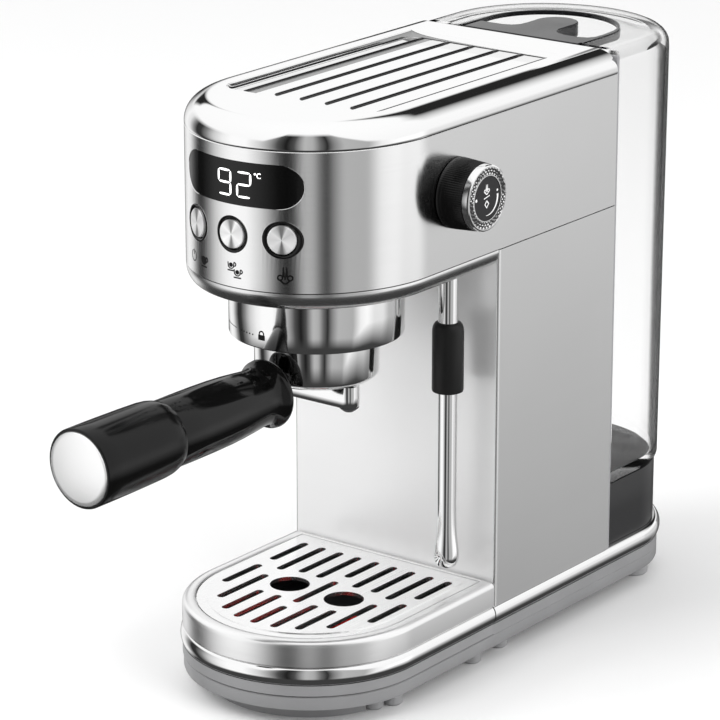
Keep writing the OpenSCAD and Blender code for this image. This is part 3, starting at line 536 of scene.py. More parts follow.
def front_u(half, reach, curve, back):
    """A U with its round end to the front, with a support point near each end of its curve."""
    straight = curve - reach
    ends = [(-half, back), (-half, (back + straight) / 2), (-half, straight + 2)]
    return ends + front_end(half, reach, curve) + [(-x, y) for x, y in reversed(ends)]


def rear_u(half, back, curve, front):
    straight = back - curve
    ends = [(half, front), (half, (front + straight) / 2), (half, straight - 2)]
    return ends + rear_end(half, back, curve) + [(-x, y) for x, y in reversed(ends)]


def head_path(inset):
    return front_u(HALF - inset, HEAD_REACH - inset, HEAD_CURVE - inset, COLUMN - 0.4 * inset)


def tray_path(inset):
    return front_u(HALF - inset, BASE_REACH - inset, BASE_CURVE - inset, TRAY_BACK)


def ring_path(inset):
    return front_u(HALF - inset, BASE_REACH - inset, BASE_CURVE - inset, TRAY_BACK - 0.4 * inset)


def base_path(inset):
    half = HALF - inset
    front = front_end(half, BASE_REACH - inset, BASE_CURVE - inset)
    rear = rear_end(half, BASE_BACK - inset, BASE_BACK_CURVE - inset)
    side = [(half, front[-1][1] + 2), (half, 0), (half, rear[0][1] - 2)]
    return front + side + rear + [(-x, y) for x, y in reversed(side)]


def rear_base_path(inset):
    return rear_u(HALF - inset, BASE_BACK - inset, BASE_BACK_CURVE - inset, 0)


def tank_path(inset):
    half = HALF - 0.4 - inset
    return rear_u(half, TANK_BACK - inset, half, TANK_FRONT + min(inset, 4))


# ---- base and drip tray

def band_profile(inner):
    mid, rise = (BAND_Z + PANEL_Z) / 2, (PANEL_Z - BAND_Z) / 2 - 0.15
    round_side = []
    for a in steps(*rad(-90, 90), 20):
        round_side.append((BAND_EDGE - BULGE * math.cos(a), mid + rise * math.sin(a)))
    return round_side + [(inner, mid + rise), (inner, mid - rise)]


def make_base():
    low = shifted([(1.2, 0), (0.3, 0.3), (0, 1.2)], SKIRT_IN, FOOT_Z)
    high = shifted([(0, -0.6), (0.6, 0), (3, 0), (3, FOOT_Z - DECK_Z)], SKIRT_IN, DECK_Z)
    lower = sweep(base_path, low + high, True)
    rear = shifted([(0, DECK_Z - 0.2), (0, BAND_Z), (2, BAND_Z), (2, DECK_Z - 0.2)], SKIRT_IN, 0)
    deck = prism(tray_path(SKIRT_IN + 2.8), DECK_Z - 1.4, DECK_Z - 0.02)
    instead("base_skirt", "skirt", join(lower, sweep(rear_base_path, rear, False), deck))
    instead("base_band", "rear_band", sweep(rear_base_path, band_profile(3.2), False))
    instead("tray_band", "tray_front_band", sweep(tray_path, band_profile(4.2), False))
    low, high = span("tray_tub")
    tub_in, top = HALF - high.x, BAND_Z + 0.6
    front = [(-0.05, low.z + 0.2), (-0.5, low.z + 0.5), (-0.5, top), (-0.05, top)]
    skirt = plain("tray_skirt", sweep(tray_path, shifted(front, tub_in, 0), False))
    finish(skirt, frame["nodes"]["tray_tub"]["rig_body"], "grey_plastic")


def make_tray():
    low = PANEL_Z + 0.15
    outside = [(0.25, low), (0, low + 0.4)] + rounding(3.2, TRAY_Z - 3.2, TRAY_Z, count=10)
    inside = [(6.2, 0), (6.8, -0.25), (7, -0.8), (7, -2), (10.5, -2), (10.5, -6), (2.2, -6)]
    inside.append((2.2, low - TRAY_Z))
    instead("tray_ring", "brushed_ring", sweep(ring_path, outside + shifted(inside, 0, TRAY_Z), True))


# ---- column

def make_column():
    """Side panels whose front corner is rounded."""
    edge = 1.3
    thick = 1.2
    panels = []
    for side in (-1, 1):
        corner = arc(HALF - edge, edge, edge, 0, -90, 8)
        outline = [(HALF, COLUMN), (HALF, COLUMN / 2), (HALF, edge + 1)] + corner
        outline += [(HALF - thick - 0.05, 0), (HALF - thick - 0.05, COLUMN)]
        outline = [(side * x, y) for x, y in outline]
        panels.append(prism(outline, PANEL_Z + 0.1, SEAM_Z - 0.3))
    obj = instead("side_panels", "side_panels_steel", join(*panels))
    bevel(obj, 0.15, 2)


# ---- head

def pill_outline(half, low, high):
    r = (high - low) / 2
    right = arc(half - r, low + r, r, -90, 90, 24)
    left = [(-x, low + high - z) for x, z in right]
    return right + left


def front_cutter(outline):
    """A bar along Y with the outline [(x, z)], which cuts through the head's front."""
    return plain("cutter", loft([[(x, y - HEAD_REACH, z) for x, z in outline] for y in (-5, 45)]))


def window_pill(inset):
    low, high = span("display_window")
    return pill_outline(high.x - inset, low.z + inset, high.z - inset)


def on_head(x, z):
    """Matrix of a piece whose z axis stands out of the head's front at x and z."""
    turn = Matrix.Rotation(head_turn(x), 4, "Z") @ Matrix.Rotation(math.pi / 2, 4, "X")
    return Matrix.Translation(place(x, head_y(x), z)) @ turn


def scaled(matrix):
    """The same placement for points in design millimetres."""
    return Matrix.Translation((matrix.translation - ORIGIN) / MM) @ matrix.to_3x3().to_4x4()


def make_head():
    wall = 1.2
    low, high = SEAM_Z + 0.05, COVER_Z - 0.25
    profile = [(0.2, low), (0, low + 0.3), (0, (low + high) / 2), (0, high - 0.4), (0.4, high)]
    profile += [(wall, high), (wall, low)]
    shell = plain("head_steel", sweep(head_path, profile, True))
    cutters = [front_cutter(window_pill(0))]
    for i in (-1, 0, 1):
        cutters.append(front_cutter(arc(i * BUTTON_PITCH, BUTTON_Z, BEZEL_R, 0, 355, 71)))
    cut(shell, *cutters)
    finish(shell, "machine", "satin_steel", "head_shell")


def make_lip():
    rise = SEAM_Z - HEAD_Z
    profile = [(0.25, SEAM_Z - 0.25)]
    for a in steps(*rad(4, 90), 14):
        profile.append((LIP_IN * (1 - math.cos(a)), SEAM_Z - 0.3 - (rise - 0.3) * math.sin(a)))

    def path(inset):
        return front_u(HALF - inset, HEAD_REACH - inset, HEAD_CURVE - inset, -0.2)
    lip = plain("head_lip", stack(path, profile))
    hole = lathe([(0, HEAD_Z - 2), (10.4, HEAD_Z - 2), (10.4, HEAD_Z + 6.5), (0, HEAD_Z + 6.5)], 64)
    cut(lip, plain("cutter", moved(hole, Matrix.Translation((WAND_X, -WAND_Y, 0)))))
    finish(lip, "machine", "lip_grey", "head_base")


def rounded_rectangle(half, front, back, r):
    """A rounded rectangle with one point for each direction that the head's outline has."""
    centre = (front + back) / 2
    reach = (back - front) / 2
    points = []
    for x, y in head_path(0):
        dx, dy = x, y - centre
        scale = min(half / max(abs(dx), 1e-6), reach / max(abs(dy), 1e-6))
        px, py = dx * scale, dy * scale
        cx, cy = half - r, reach - r
        if abs(px) > cx and abs(py) > cy:
            a = math.atan2(abs(py) - cy, abs(px) - cx)
            px = math.copysign(cx + r * math.cos(a), px)
            py = math.copysign(cy + r * math.sin(a), py)
        points.append((px, py + centre))
    return points


PLATE_LOW, PLATE_HIGH = span("cup_plate")
PLATE_R = 9


def plate_ring(outset, z):
    front, back = PLATE_LOW.y - outset, PLATE_HIGH.y + outset
    return lifted(rounded_rectangle(PLATE_HIGH.x + outset, front, back, PLATE_R + outset), z)


def make_cover():
    """The polished cover with its rounded edge and the recess for the cup plate."""
    edge = 12
    floor = PLATE_LOW.z
    outside = [(0.15, COVER_Z + 0.05), (0, COVER_Z + 0.35)]
    outside += rounding(edge, TOP_Z - edge, TOP_Z, start=3, count=16) + [(edge + 0.3, TOP_Z)]
    recess = shifted([(0.9, 0), (0.65, 0), (0.5, -0.15), (0.4, -0.5)], 0, TOP_Z)
    recess += [(0.1, floor + 0.4), (0.1, floor)]
    rings = [lifted(head_path(inset), z) for inset, z in outside]
    rings += [plate_ring(outset, z) for outset, z in recess]
    rings += [lifted(head_path(14), floor), lifted(head_path(2), COVER_Z + 0.05)]
    instead("top_cover", "cover_polished", loft(rings, closed=True))


def rib(x, y0, y1, low, half=1.25, height=0.8):
    """A low ridge with a narrow crest and round ends."""
    rows = []
    for inset, rise in ((0, 0), (0.18, 0.45), (0.45, 0.8), (0.8, 0.97), (0.97, 1)):
        r = half * (1 - inset)
        outline = arc(x, y1 - half, r, 0, 180, 12) + arc(x, y0 + half, r, 180, 360, 12)
        rows.append(lifted(outline, low + height * rise))
    return loft(rows)


def make_cup_plate():
    """The polished plate with six ridges and the shallow drain beside the left one. The ridges' dark colour
    and the drain's grey are painted reflections.
    """
    top = PLATE_HIGH.z - 0.6
    profile = [(-0.1, PLATE_LOW.z), (-0.1, top - 0.2), (-0.25, top), (-1, top)]
    plate = loft([plate_ring(outset, z) for outset, z in profile])
    instead("cup_plate", "cup_plate_polished", plate, look=MATERIALS["polished_steel"])
    pitch = 15.55
    base = top - 0.02
    ribs = [rib(k * pitch, -67.4, 80.6, base) for k in (-1.5, -0.5, 0.5, 1.5, 2.5)]
    ribs.append(rib(-2.56 * pitch, -71.5, 84, base))
    finish(plain("plate_ridges", join(*ribs)), "machine", "polished_steel", look=RIDGE_PAINTED_REFLECTION)
    drain = prism([(-38.9, -71.5), (-33.4, -73.5), (-34.2, 84), (-38.9, 84)], base, top + 0.03)
    finish(plain("plate_drain", drain), "machine", "polished_steel", look=DRAIN_PAINTED_REFLECTION)


# ---- display, buttons and print

def make_display():
    wall = [(0.1, SEAM_Z + 5), (0.1, COVER_Z - 2), (1.8, COVER_Z - 2), (1.8, SEAM_Z + 5)]
    window = plain("display_black", sweep(head_path, wall, True))
    cut(window, front_cutter(window_pill(0.12)), operation="INTERSECT")
    finish(window, "machine", "gloss_black", "display_window")


def trim(outline, count, width=0.5):
    """A chamfered edge that leads from the head's surface into a hole with the outline(inset)."""
    rings = []
    for inset, h in ((-0.06, -0.5), (-0.06, 0.03), (0.05, 0.05), (width, -0.42), (width, -0.6)):
        rings.append([front_surface(x, z, h) for x, z in outline(inset)])
    return loft([[ring[i] for ring in rings] for i in range(count)], closed=True)


def make_trims():
    parts = [trim(window_pill, len(window_pill(0)))]
    for i in (-1, 0, 1):
        def hole(inset, x=i * BUTTON_PITCH):
            return arc(x, BUTTON_Z, BEZEL_R + 0.02 - inset, 0, 356.25, 95)
        parts.append(trim(hole, 96, 0.35))
    finish(plain("hole_trims", join(*parts), angle=25), "machine", "polished_steel")


# Section of a bezel: share of the way inwards, and height over the head's surface
BEZEL_SECTION = [(0, -2.4), (0, 0.1), (0.12, 0.42), (0.32, 0.45), (0.6, 0.1), (0.85, -0.1),
                 (1, -0.35), (1, -2.2)]


def bezel(i):
    """A black ring whose outside follows the hole in the curved front and whose inside is round."""
    x, turn = i * BUTTON_PITCH, head_turn(i * BUTTON_PITCH)
    out = Vector((math.sin(turn), -math.cos(turn), 0))
    aside = Vector((math.cos(turn), math.sin(turn), 0))
    centre = Vector((x, head_y(x), BUTTON_Z))
    rings = []
    for a in steps(0, 2 * math.pi, 96)[:-1]:
        u, v = math.cos(a), math.sin(a)
        edge_x = x + (BEZEL_R - 0.3) * u
        outer = Vector((edge_x, head_y(edge_x), BUTTON_Z + (BEZEL_R - 0.3) * v))
        inner = centre + aside * (BUTTON_R + 0.3) * u + Vector((0, 0, (BUTTON_R + 0.3) * v)) - out * 0.5
        rings.append([tuple(outer.lerp(inner, t) + out * h) for t, h in BEZEL_SECTION])
    return loft(rings, closed=True)


def make_buttons():
    profile = [(0, -7), (2.5, -7), (2.5, -2.5), (BUTTON_R, -2.5)] + arc(BUTTON_R - 0.5, -0.1, 0.5, 0, 90, 3)
    profile += [(BUTTON_R - 1.0, 0.42), (BUTTON_R - 1.4, 0.36), (2, 0.38), (0, 0.4)]
    for i, name in ((-1, "left"), (0, "middle"), (1, "right")):
        place_on = on_head(i * BUTTON_PITCH, BUTTON_Z)
        instead("button_" + name, "cap_" + name, lathe(profile), place_on, look=SPUN)
    instead("button_bezels", "button_rings", join(*[bezel(i) for i in (-1, 0, 1)]), angle=50)


def stroke(points, width, surface, low=-0.03, high=0.06):
    """A printed line along points (u, v) on surface(u, v, height). width may be a list."""
    widths = width if isinstance(width, list) else [width] * len(points)
    rings = []
    for k, (u, v) in enumerate(points):
        before, after = points[max(k - 1, 0)], points[min(k + 1, len(points) - 1)]
        du, dv = after[0] - before[0], after[1] - before[1]
        size = math.hypot(du, dv)
        nu, nv = -dv / size * widths[k] / 2, du / size * widths[k] / 2
        sides = ((nu, nv, low), (-nu, -nv, low), (-nu, -nv, high), (nu, nv, high))
        rings.append([surface(u + a, v + b, h) for a, b, h in sides])
    return loft(rings)


def patch(outline, surface, low=-0.03, high=0.06):
    return loft([[surface(u, v, h) for u, v in outline] for h in (low, high)])


def front_surface(u, v, h):
    turn = head_turn(u)
    return u + h * math.sin(turn), head_y(u) - h * math.cos(turn), v


def spot_surface(x, z):
    """The head's front round one place, with u measured along the surface."""
    turn = math.cos(head_turn(x))
    return lambda u, v, h: front_surface(x + u * turn, z + v, h)


def drawing(u, v, size, surface):
    """The surface for a small drawing, in its own units round the point (u, v)."""
    return lambda x, y, h: surface(u + x * size, v + y * size, h)


def cup(u, v, size, surface, fill=0.62):
    """A small cup with its handle and saucer, as printed lines round a filled middle."""
    paper, thin = drawing(u, v, size, surface), 0.34
    body = [(-1, 0.8), (-0.85, -0.4), (-0.35, -0.85), (0.35, -0.85), (0.85, -0.4), (1, 0.8)]
    parts = [stroke(body, thin, paper), patch(arc(0, 0.1, fill, 0, 345), paper)]
    parts.append(stroke(arc(1.1, 0.35, 0.5, -90, 110, 8), thin, paper))
    parts.append(stroke([(-1.15, -1.4), (1.15, -1.4)], 0.38, paper))
    return join(*parts)


def steam(u, v, size, surface):
    """Three rising jets between two side loops that meet in a point below."""
    paper = drawing(u, v, size, surface)
    parts = [stroke([(0, -0.7), (0, 0.5)], [0.26, 0.14], paper)]
    for k in (-1, 1):
        parts.append(stroke([(k * 0.3, -0.3), (k * 0.3, 1.45)], [0.38, 0.2], paper))
        parts.append(stroke(arc(k * 0.85, -0.42, 0.42, 0, 360, 14), 0.28, paper))
        parts.append(stroke([(k * 0.8, -0.88), (k * 0.25, -1.36), (0, -1.42)], 0.32, paper))
    return join(*parts)


SEGMENTS = {"9": "abcdfg", "2": "abged"}
GLOW_HEIGHT = 0.08


def digit(sign, left, low, width, height, surface):
    """A seven-segment digit whose bars taper to both ends."""
    mid, top, right = low + height / 2, low + height, left + width
    ends = {
        "a": ((left, top), (right, top)), "g": ((left, mid), (right, mid)), "d": ((left, low), (right, low)),
        "f": ((left, mid), (left, top)), "b": ((right, mid), (right, top)),
        "e": ((left, low), (left, mid)), "c": ((right, low), (right, mid)),
    }
    bars = []
    for name in SEGMENTS[sign]:
        (u0, v0), (u1, v1) = ends[name]
        points = [(u0 + (u1 - u0) * t, v0 + (v1 - v0) * t) for t in (0.05, 0.16, 0.5, 0.84, 0.95)]
        bars.append(stroke(points, [0.25, 0.85, 1.1, 0.85, 0.25], surface, 0.0, GLOW_HEIGHT))
    return join(*bars)


def make_print():
    """The glowing temperature and the icons under the buttons."""
    def window(u, v, h):
        return front_surface(u, v, h - 0.1)

    low, height = 269.6, 12.1
    glow = [digit("9", -8.0, low, 7.6, height, window), digit("2", 3.6, low, 7.4, height, window)]
    glow.append(stroke(arc(13.4, 281.7, 0.38, 0, 360, 12), 0.3, window, 0.0, GLOW_HEIGHT))
    glow.append(stroke(arc(15.6, 281.0, 1.15, 50, 310, 14), 0.42, window, 0.0, GLOW_HEIGHT))
    finish(plain("display_digits", join(*glow)), "machine", "gloss_black", look=GLOW)

    icon_z = 232.8
    power = spot_surface(-30, icon_z)
    ring = stroke(arc(0, 0, 2.7, 115, 425, 24), 0.5, power)
    bar = stroke([(0, 0.6), (0, 3.2)], 0.5, power)
    finish(plain("icon_power", join(ring, bar)), "machine", "ring_steel", look=PALE_INK)
    one = cup(0, 0, 2.15, spot_surface(-20.3, icon_z), 0.95)
    pair = spot_surface(0, icon_z)
    two = join(cup(-0.6, 1.9, 1.85, pair), cup(3.2, -1.3, 1.85, pair))
    cloud = steam(0, 0, 2.9, spot_surface(27.4, icon_z))
    finish(plain("icons_front", join(one, two, cloud)), "machine", "ring_steel", look=INK)


def collar_surface(u, v, h):
    """The collar's outside, with u measured along it from its foremost line."""
    a = u / COLLAR_R
    r = COLLAR_R + h
    return r * math.sin(a), -GROUP_Y - r * math.cos(a), v


def make_collar():
    z0, z1 = COLLAR_Z, HEAD_Z - 0.05
    profile = [(37, z0)] + shifted([(-0.9, 0), (-0.25, 0.3), (0, 1.0)], COLLAR_R, z0)
    profile += [(COLLAR_R, (z0 + z1) / 2), (COLLAR_R, z1), (41, z1), (41, z0 + 2), (37, z0 + 2)]
    instead("group_collar", "collar_steel", lathe(profile, 160), group_axis())
    mark_z = 193
    line = stroke([(u, mark_z) for u in steps(-34, -20, 12)], 0.25, collar_surface)
    dots = [patch(arc(u, mark_z, 0.42, 0, 330, 11), collar_surface) for u in steps(-15, -6, 4)]
    lock = [(-2.0, -2.1), (2.0, -2.1), (2.1, -0.8), (2.0, 0.6), (-2.0, 0.6), (-2.1, -0.8)]
    body = patch(shifted(lock, -0.2, mark_z + 0.2), collar_surface)
    shackle = stroke(arc(-0.2, mark_z + 1.3, 1.35, -20, 200, 12), 0.7, collar_surface)
    finish(plain("lock_marks", join(line, body, shackle, *dots)), "machine", "ring_steel", look=INK)


# ---- portafilter

def group_axis():
    return Matrix.Translation(place(0, -GROUP_Y, 0))


def handle_axis():
    turn = Matrix.Rotation(-HANDLE_SHORT, 4, "Z") @ Matrix.Rotation(math.pi / 2 + HANDLE_DROP, 4, "X")
    return Matrix.Translation(place(0, -GROUP_Y, HANDLE_Z)) @ turn


def make_bowl():
    low, high = 160.5, 201.3
    r = 31.5
    dome = [(0, 0), (10, 0.1), (19, 0.6), (25, 1.5), (28.4, 2.6), (29.8, 3.4), (30.6, 4.1), (31.2, 4.9)]
    outside = shifted(dome, 0, low)
    rim = [(r, 166.4), (r, 185), (r, high - 0.3), (r - 0.3, high), (r - 2.6, high), (r - 2.6, 166), (0, 166)]
    bowl = moved(lathe(outside + rim, 128), scaled(group_axis()))
    neck = [(0, 30.2), (8.4, 30.2), (7.4, 31.6), (6.6, 33.2), (6.5, 36.6), (0, 36.6)]
    lugs = []
    for side in (0, 180):
        outline = arc(0, 0, 31, side - 16, side + 16, 8) + arc(0, 0, 36, side + 16, side - 16, 8)
        lugs.append(moved(prism(outline, 196.2, 199.8), scaled(group_axis())))
    neck = moved(lathe(neck, 64), scaled(handle_axis()))
    instead("portafilter_bowl", "bowl_polished", join(bowl, neck, *lugs))


def make_spout():
    """The channel across the bowl, round at both ends, over two dark tips."""
    reach, r = 20.1, 5.3
    low, high = 149.3, 160.6

    def path(inset):
        right = arc(reach, 0, r - inset, -90, 90, 24)
        return right + [(-x, -y) for x, y in right]
    body = stack(path, [(1.1, low), (0.35, low + 0.25), (0, low + 1.0), (0, (low + high) / 2), (0, high)])
    shift = scaled(group_axis())
    instead("spout", "spout_channel", moved(body, shift))
    tips = []
    tip = [(1.7, 149.7), (1.7, 147.1), (1.9, 147.0), (2.5, 147.02), (4.2, 148.3), (5.0, 149.1), (5.1, 149.7)]
    for side in (-1, 1):
        tips.append(moved(lathe(tip, 48), shift @ Matrix.Translation((side * reach, 0, 0))))
    finish(plain("spout_tips", join(*tips)), "portafilter", "tub_plastic")


def make_handle():
    flange = [(3, 36.5), (16.2, 36.5), (17.2, 37.0), (17.6, 38.0), (17.5, 39.2), (16.8, 40.4), (15.4, 42.2),
              (14.8, 44.5)]
    waist = [(14.7, 47), (15.0, 51), (15.6, 57), (16.2, 64), (16.7, 73), (17.0, 84), (17.1, 96),
             (17.1, 112.2), (16.9, 112.9), (3, 112.9)]
    axis = handle_axis()
    instead("handle_grip", "grip_black", lathe(flange + waist, 128), axis)
    sleeve = [(3, 113), (17.1, 113), (17.5, 113.15), (18.3, 115.3), (18.9, 117.8), (19.3, 122), (19.6, 133)]
    sleeve += [(19.8, 147), (19.9, 159), (19.9, 168.2), (19.75, 168.7), (19.4, 168.95), (18.6, 169),
               (18.45, 168.7), (18.45, 165.1), (3, 165.1)]
    instead("handle_sleeve", "sleeve_black_end", lathe(sleeve, 128), axis)
    cap = [(0, 165), (18.35, 165), (18.35, 169.0), (18.1, 169.55), (17.6, 169.8)]
    cap += [(17.6 * (1 - i / 10), 169.8 + 0.92 * (1 - (1 - i / 10) ** 2)) for i in range(1, 11)]
    instead("handle_cap", "cap_satin", lathe(cap, 128), axis, look=CAP_STEEL)


# ---- steam knob

def knob_axis():
    return Matrix.Translation(place(HALF, -KNOB_Y, KNOB_Z)) @ Matrix.Rotation(math.pi / 2, 4, "Y")


def knob_surface(u, v, h):
    """The knob's disc seen from outside: u to the right, v up."""
    return KNOB_FACE - 0.3 + h, -KNOB_Y + u, KNOB_Z + v


def make_knob_body():
    """The knob's barrel, with fine ridges round it."""
    length = KNOB_FACE - HALF
    ridges, fine = 96, 4
    rows = [(0.4, 0.6, 0), (1.0, 0, 0), (4.0, 0.15, 0.35), (9, 0.5, 0.35), (length - 4.8, 0.85, 0.35),
            (length - 4.05, 0.95, 0.3)]
    rings = []
    for z, inset, depth in rows:
        ring = []
        for k in range(ridges * fine):
            a = 2 * math.pi * k / (ridges * fine)
            r = KNOB_R - inset - depth * (0.5 - 0.5 * math.cos(2 * math.pi * k / fine)) ** 0.7
            ring.append((r * math.cos(a), r * math.sin(a), z))
        rings.append(ring)
    instead("knob_body", "knob_knurled", loft(rings), knob_axis(), angle=60)


def make_knob_face():
    """The knob's polished ring with its woven band, and the disc inside it."""
    inner, outer = 11.2, 16.6
    high = KNOB_FACE - HALF
    low, floor = high - 4, high - 0.56
    profile = [(inner, low), (outer - 0.3, low), (outer, low + 0.3)]
    profile += shifted([(0, -0.9), (-0.3, -0.3), (-0.8, 0), (-1.3, 0), (-1.5, -0.55)], outer, high)
    profile += shifted([(0.6, -0.55), (0.45, -0.05), (0, -0.05)], inner, high)
    parts = [lathe(profile, 128)]
    count = 36
    for row, r in enumerate((12.2, 13.5, 14.8)):
        for k in range(count):
            a = 2 * math.pi * (k + row % 2 * 0.5) / count
            along, across = r * math.pi / count * 0.80, 0.72
            corner = [(0, along), (across, 0), (0, -along), (-across, 0)]
            turn = Matrix.Rotation(a, 4, "Z") @ Matrix.Translation((r, 0, floor))
            peak = [(x * 0.25, y * 0.25) for x, y in corner]
            parts.append(moved(loft([lifted(corner, 0), lifted(peak, 0.5)]), turn))
    instead("knob_ring", "knob_ring_woven", join(*parts), knob_axis(), angle=25)
    start, end, crest = inner + 0.62, outer - 1.52, high - 0.5
    gap = [(start, floor), (end, floor), (end, crest), (start, crest)]
    finish(plain("knob_weave_floor", lathe(gap), knob_axis()), "steam_knob", "dark_plastic")
    disc = [(0, low)] + shifted([(-0.05, low), (-0.05, high - 0.5), (-0.35, high - 0.3)], inner, 0)
    disc.append((0, high - 0.3))
    instead("knob_disc", "knob_face", lathe(disc), knob_axis(), look=DISC_BLACK)


def make_knob_marks():
    dot = patch(arc(-9.3, 0.6, 0.8, 0, 337, 15), knob_surface)
    far_dot = patch(arc(8.3, 2.6, 0.62, 0, 337, 15), knob_surface)
    sweep_arc = stroke(arc(0, 0, 8.6, 5, -96, 30), [1.3 - 1.05 * t for t in steps(0, 1, 30)], knob_surface)
    slash = stroke([(-2.9, 0.2), (1.9, 1.2)], 0.5, knob_surface)
    diamond = stroke([(-0.5, -1.1), (1.1, -2.8), (-0.5, -4.6), (-2.1, -2.8), (-0.5, -1.1)], 0.7, knob_surface)
    jet = steam(-0.5, 4.6, 1.7, knob_surface)
    marks = plain("knob_marks", join(dot, far_dot, sweep_arc, slash, diamond, jet))
    finish(marks, "steam_knob", "valve_white", look=WHITE_INK)
    index = patch([(-24.7, 0.0), (-22.0, 0.2), (-22.0, 1.1), (-24.7, 0.9)],
                  lambda u, v, h: (HALF + h, -KNOB_Y + u, KNOB_Z + v))
    finish(plain("knob_index", index), "machine", "gloss_black", look=INK)


# ---- steam wand

def make_wand():
    axis = Matrix.Translation(place(WAND_X, -WAND_Y, 0))
    pipe = [(0, 150.4), (4.6, 150.4), (4.6, 185), (5.2, 185), (5.2, 214)]
    ball = arc(0, BALL_Z, 7.5, -42, 90)
    instead("wand_pipe", "pipe_polished", lathe(pipe + ball[:-1] + [(0, BALL_Z + 7.5)], 64), axis)
    low, high = span("wand_grip")[0].z, span("wand_grip")[1].z
    grip = shifted([(4.6, 0.1), (7.3, 0.1), (7.9, 0.4), (8.1, 1.2)], 0, low)
    grip += [(8.1, (low + high) / 2), (8.1, high - 5)]
    grip += [(5.3 + 2.8 * math.cos(a), high - 5 + 5 * math.sin(a)) for a in rad(15, 30, 45, 60, 75, 90)]
    grip += [(5.25, high - 1.6), (4.65, high - 1.6)]
    instead("wand_grip", "grip_rubber", lathe(grip, 64), axis)
    z = span("wand_tip")[0].z
    bulb = [(1.3, 0.3), (1.6, 0), (3.2, 0), (4.3, 0.4), (5.3, 1.5), (6.1, 3.2), (6.55, 5.4), (6.55, 7.6)]
    neck = [(6.2, 10.5), (5.7, 14), (5.25, 18.5), (5.0, 24), (4.9, 32), (4.9, 60)]
    tip = shifted(bulb + neck, 0, z) + [(4.9, low - 0.05), (1.3, low - 0.05)]
    lower = plain("tip", lathe(tip, 64), axis)
    hole = lathe([(0, -9), (1.2, -9), (1.2, -3.5), (0, -3.5)], 24)
    across = Matrix.Translation((0, 0, 80)) @ Matrix.Rotation(math.pi / 2, 4, "X")
    cut(lower, plain("cutter", moved(hole, across), axis))
    lower.name = "tip_polished"
    finish(lower, "steam_wand", "polished_steel", "wand_tip")


# ---- tank

def make_tank():
    """The clear tank with its mouth, the mouth's black trim and the valve in its floor."""
    wall = 2.4
    top = TOP_Z - 2
    outer = [(1.6, TANK_LOW), (1.1, TANK_LOW + 0.3), (0.9, TANK_LOW + 1.2), (0.5, 180), (0, 288), (0, 295.5)]
    outer += [(8 * (1 - math.cos(a)), top - 8 + 8 * math.sin(a)) for a in rad(15, 30, 45, 60, 75, 90)]
    mouth = [(12, 0), (24, 0), (26.4, 0), (26.8, -0.4), (26.8, -2.2), (24, -2.4), (12, -2.6)]
    inner = [(wall + 2.5, top - 6), (wall, top - 12), (wall + 0.4, 180), (wall + 0.9, 76), (wall + 1.6, 73)]
    inner.append((wall + 4, 72))
    instead("tank_body", "tank_clear", stack(tank_path, outer + shifted(mouth, 0, top) + inner))
    edge = [(26.7, -2.0), (27.5, -2.0), (27.5, 0.1), (27.2, 0.4), (26.3, 0.4), (26.3, 0), (26.7, 0)]
    trim_ring = plain("mouth_trim", sweep(tank_path, shifted(edge, 0, top), False))
    finish(trim_ring, "water_tank", "bridge_plastic")
    valve = [(0, 68.5), (8, 68.5), (8, 72.2), (9, 72.4), (9, 84), (8.4, 85.4), (7, 86), (0, 86)]
    centre = middle("tank_valve")
    instead("tank_valve", "valve_cup", lathe(valve, 64), Matrix.Translation(place(centre.x, centre.y, 0)))


def make_seat():
    """The black seat that the tank stands on, with the ring of its socket."""
    low, high = span("tank_seat")
    top = 66.9

    def path(inset):
        return rear_u(high.x - inset, high.y - inset, BASE_BACK_CURVE - 3 - inset, low.y)
    side = [(0, low.z), (0, (low.z + top) / 2)]
    body = stack(path, side + [(0, top - 1.2), (0.4, top - 0.4), (1.2, top), (4, top)])
    ring = [(8.6, -1), (10.8, -1), (10.8, 0.5), (10.4, 0.8), (9, 0.8), (8.6, 0.5)]
    socket = lathe(shifted(ring, 0, top), 64)
    centre = middle("tank_valve")
    shift = Matrix.Translation((centre.x, centre.y, 0))
    instead("tank_seat", "seat_black", join(body, moved(socket, shift)))


def make_bridge():
    """The black bridge across the tank's mouth, with its finger tongue."""
    top = span("tank_handle")[1].z
    front = span("tank_handle")[0].y
    outline = [(-36.5, front), (36.5, front), (37.2, front + 8), (37.2, 148), (34, 155), (31.6, 155)]
    outline += [(33.6, 148), (34.4, 137), (34.2, 130), (32, 126.2), (27, 124.4), (20, 124.2), (14, 126.2),
                (10.6, 129.2), (9.2, 134)]
    outline += [(-2.6 + 11.8 * math.cos(a), 148 + 12 * math.sin(a)) for a in steps(*rad(0, 180), 28)]
    outline += [(-14.2, 137), (-15, 131.4), (-17.5, 128), (-22, 126.4), (-30, 126), (-36.5, 126.4)]
    plate = plain("bridge_black", prism(outline, top - 7, top + 0.6))
    bevel(plate, 0.7, 3, 35)
    finish(plate, "water_tank", "bridge_plastic", "tank_handle")


# ---- stage, lights and camera

AZIMUTH, ELEVATION = rad(37.091, 17.793)
DISTANCE = 1852.41
TARGET = (-7.556, -19.20, 156.63)
LENS = 180.74


def make_camera():
    """In front of the machine, to its right and above."""
    data = bpy.data.cameras.new("camera")
    data.lens = LENS
    data.sensor_width = 36
    data.clip_end = 20
    camera = bpy.data.objects.new("camera", data)
    level = Vector((math.sin(AZIMUTH), -math.cos(AZIMUTH), 0)) * math.cos(ELEVATION)
    towards = level + Vector((0, 0, math.sin(ELEVATION)))
    camera.location = place(*TARGET) + towards * DISTANCE * MM
    camera.rotation_euler = towards.to_track_quat("Z", "Y").to_euler()
    bpy.context.scene.collection.objects.link(camera)
    bpy.context.scene.camera = camera


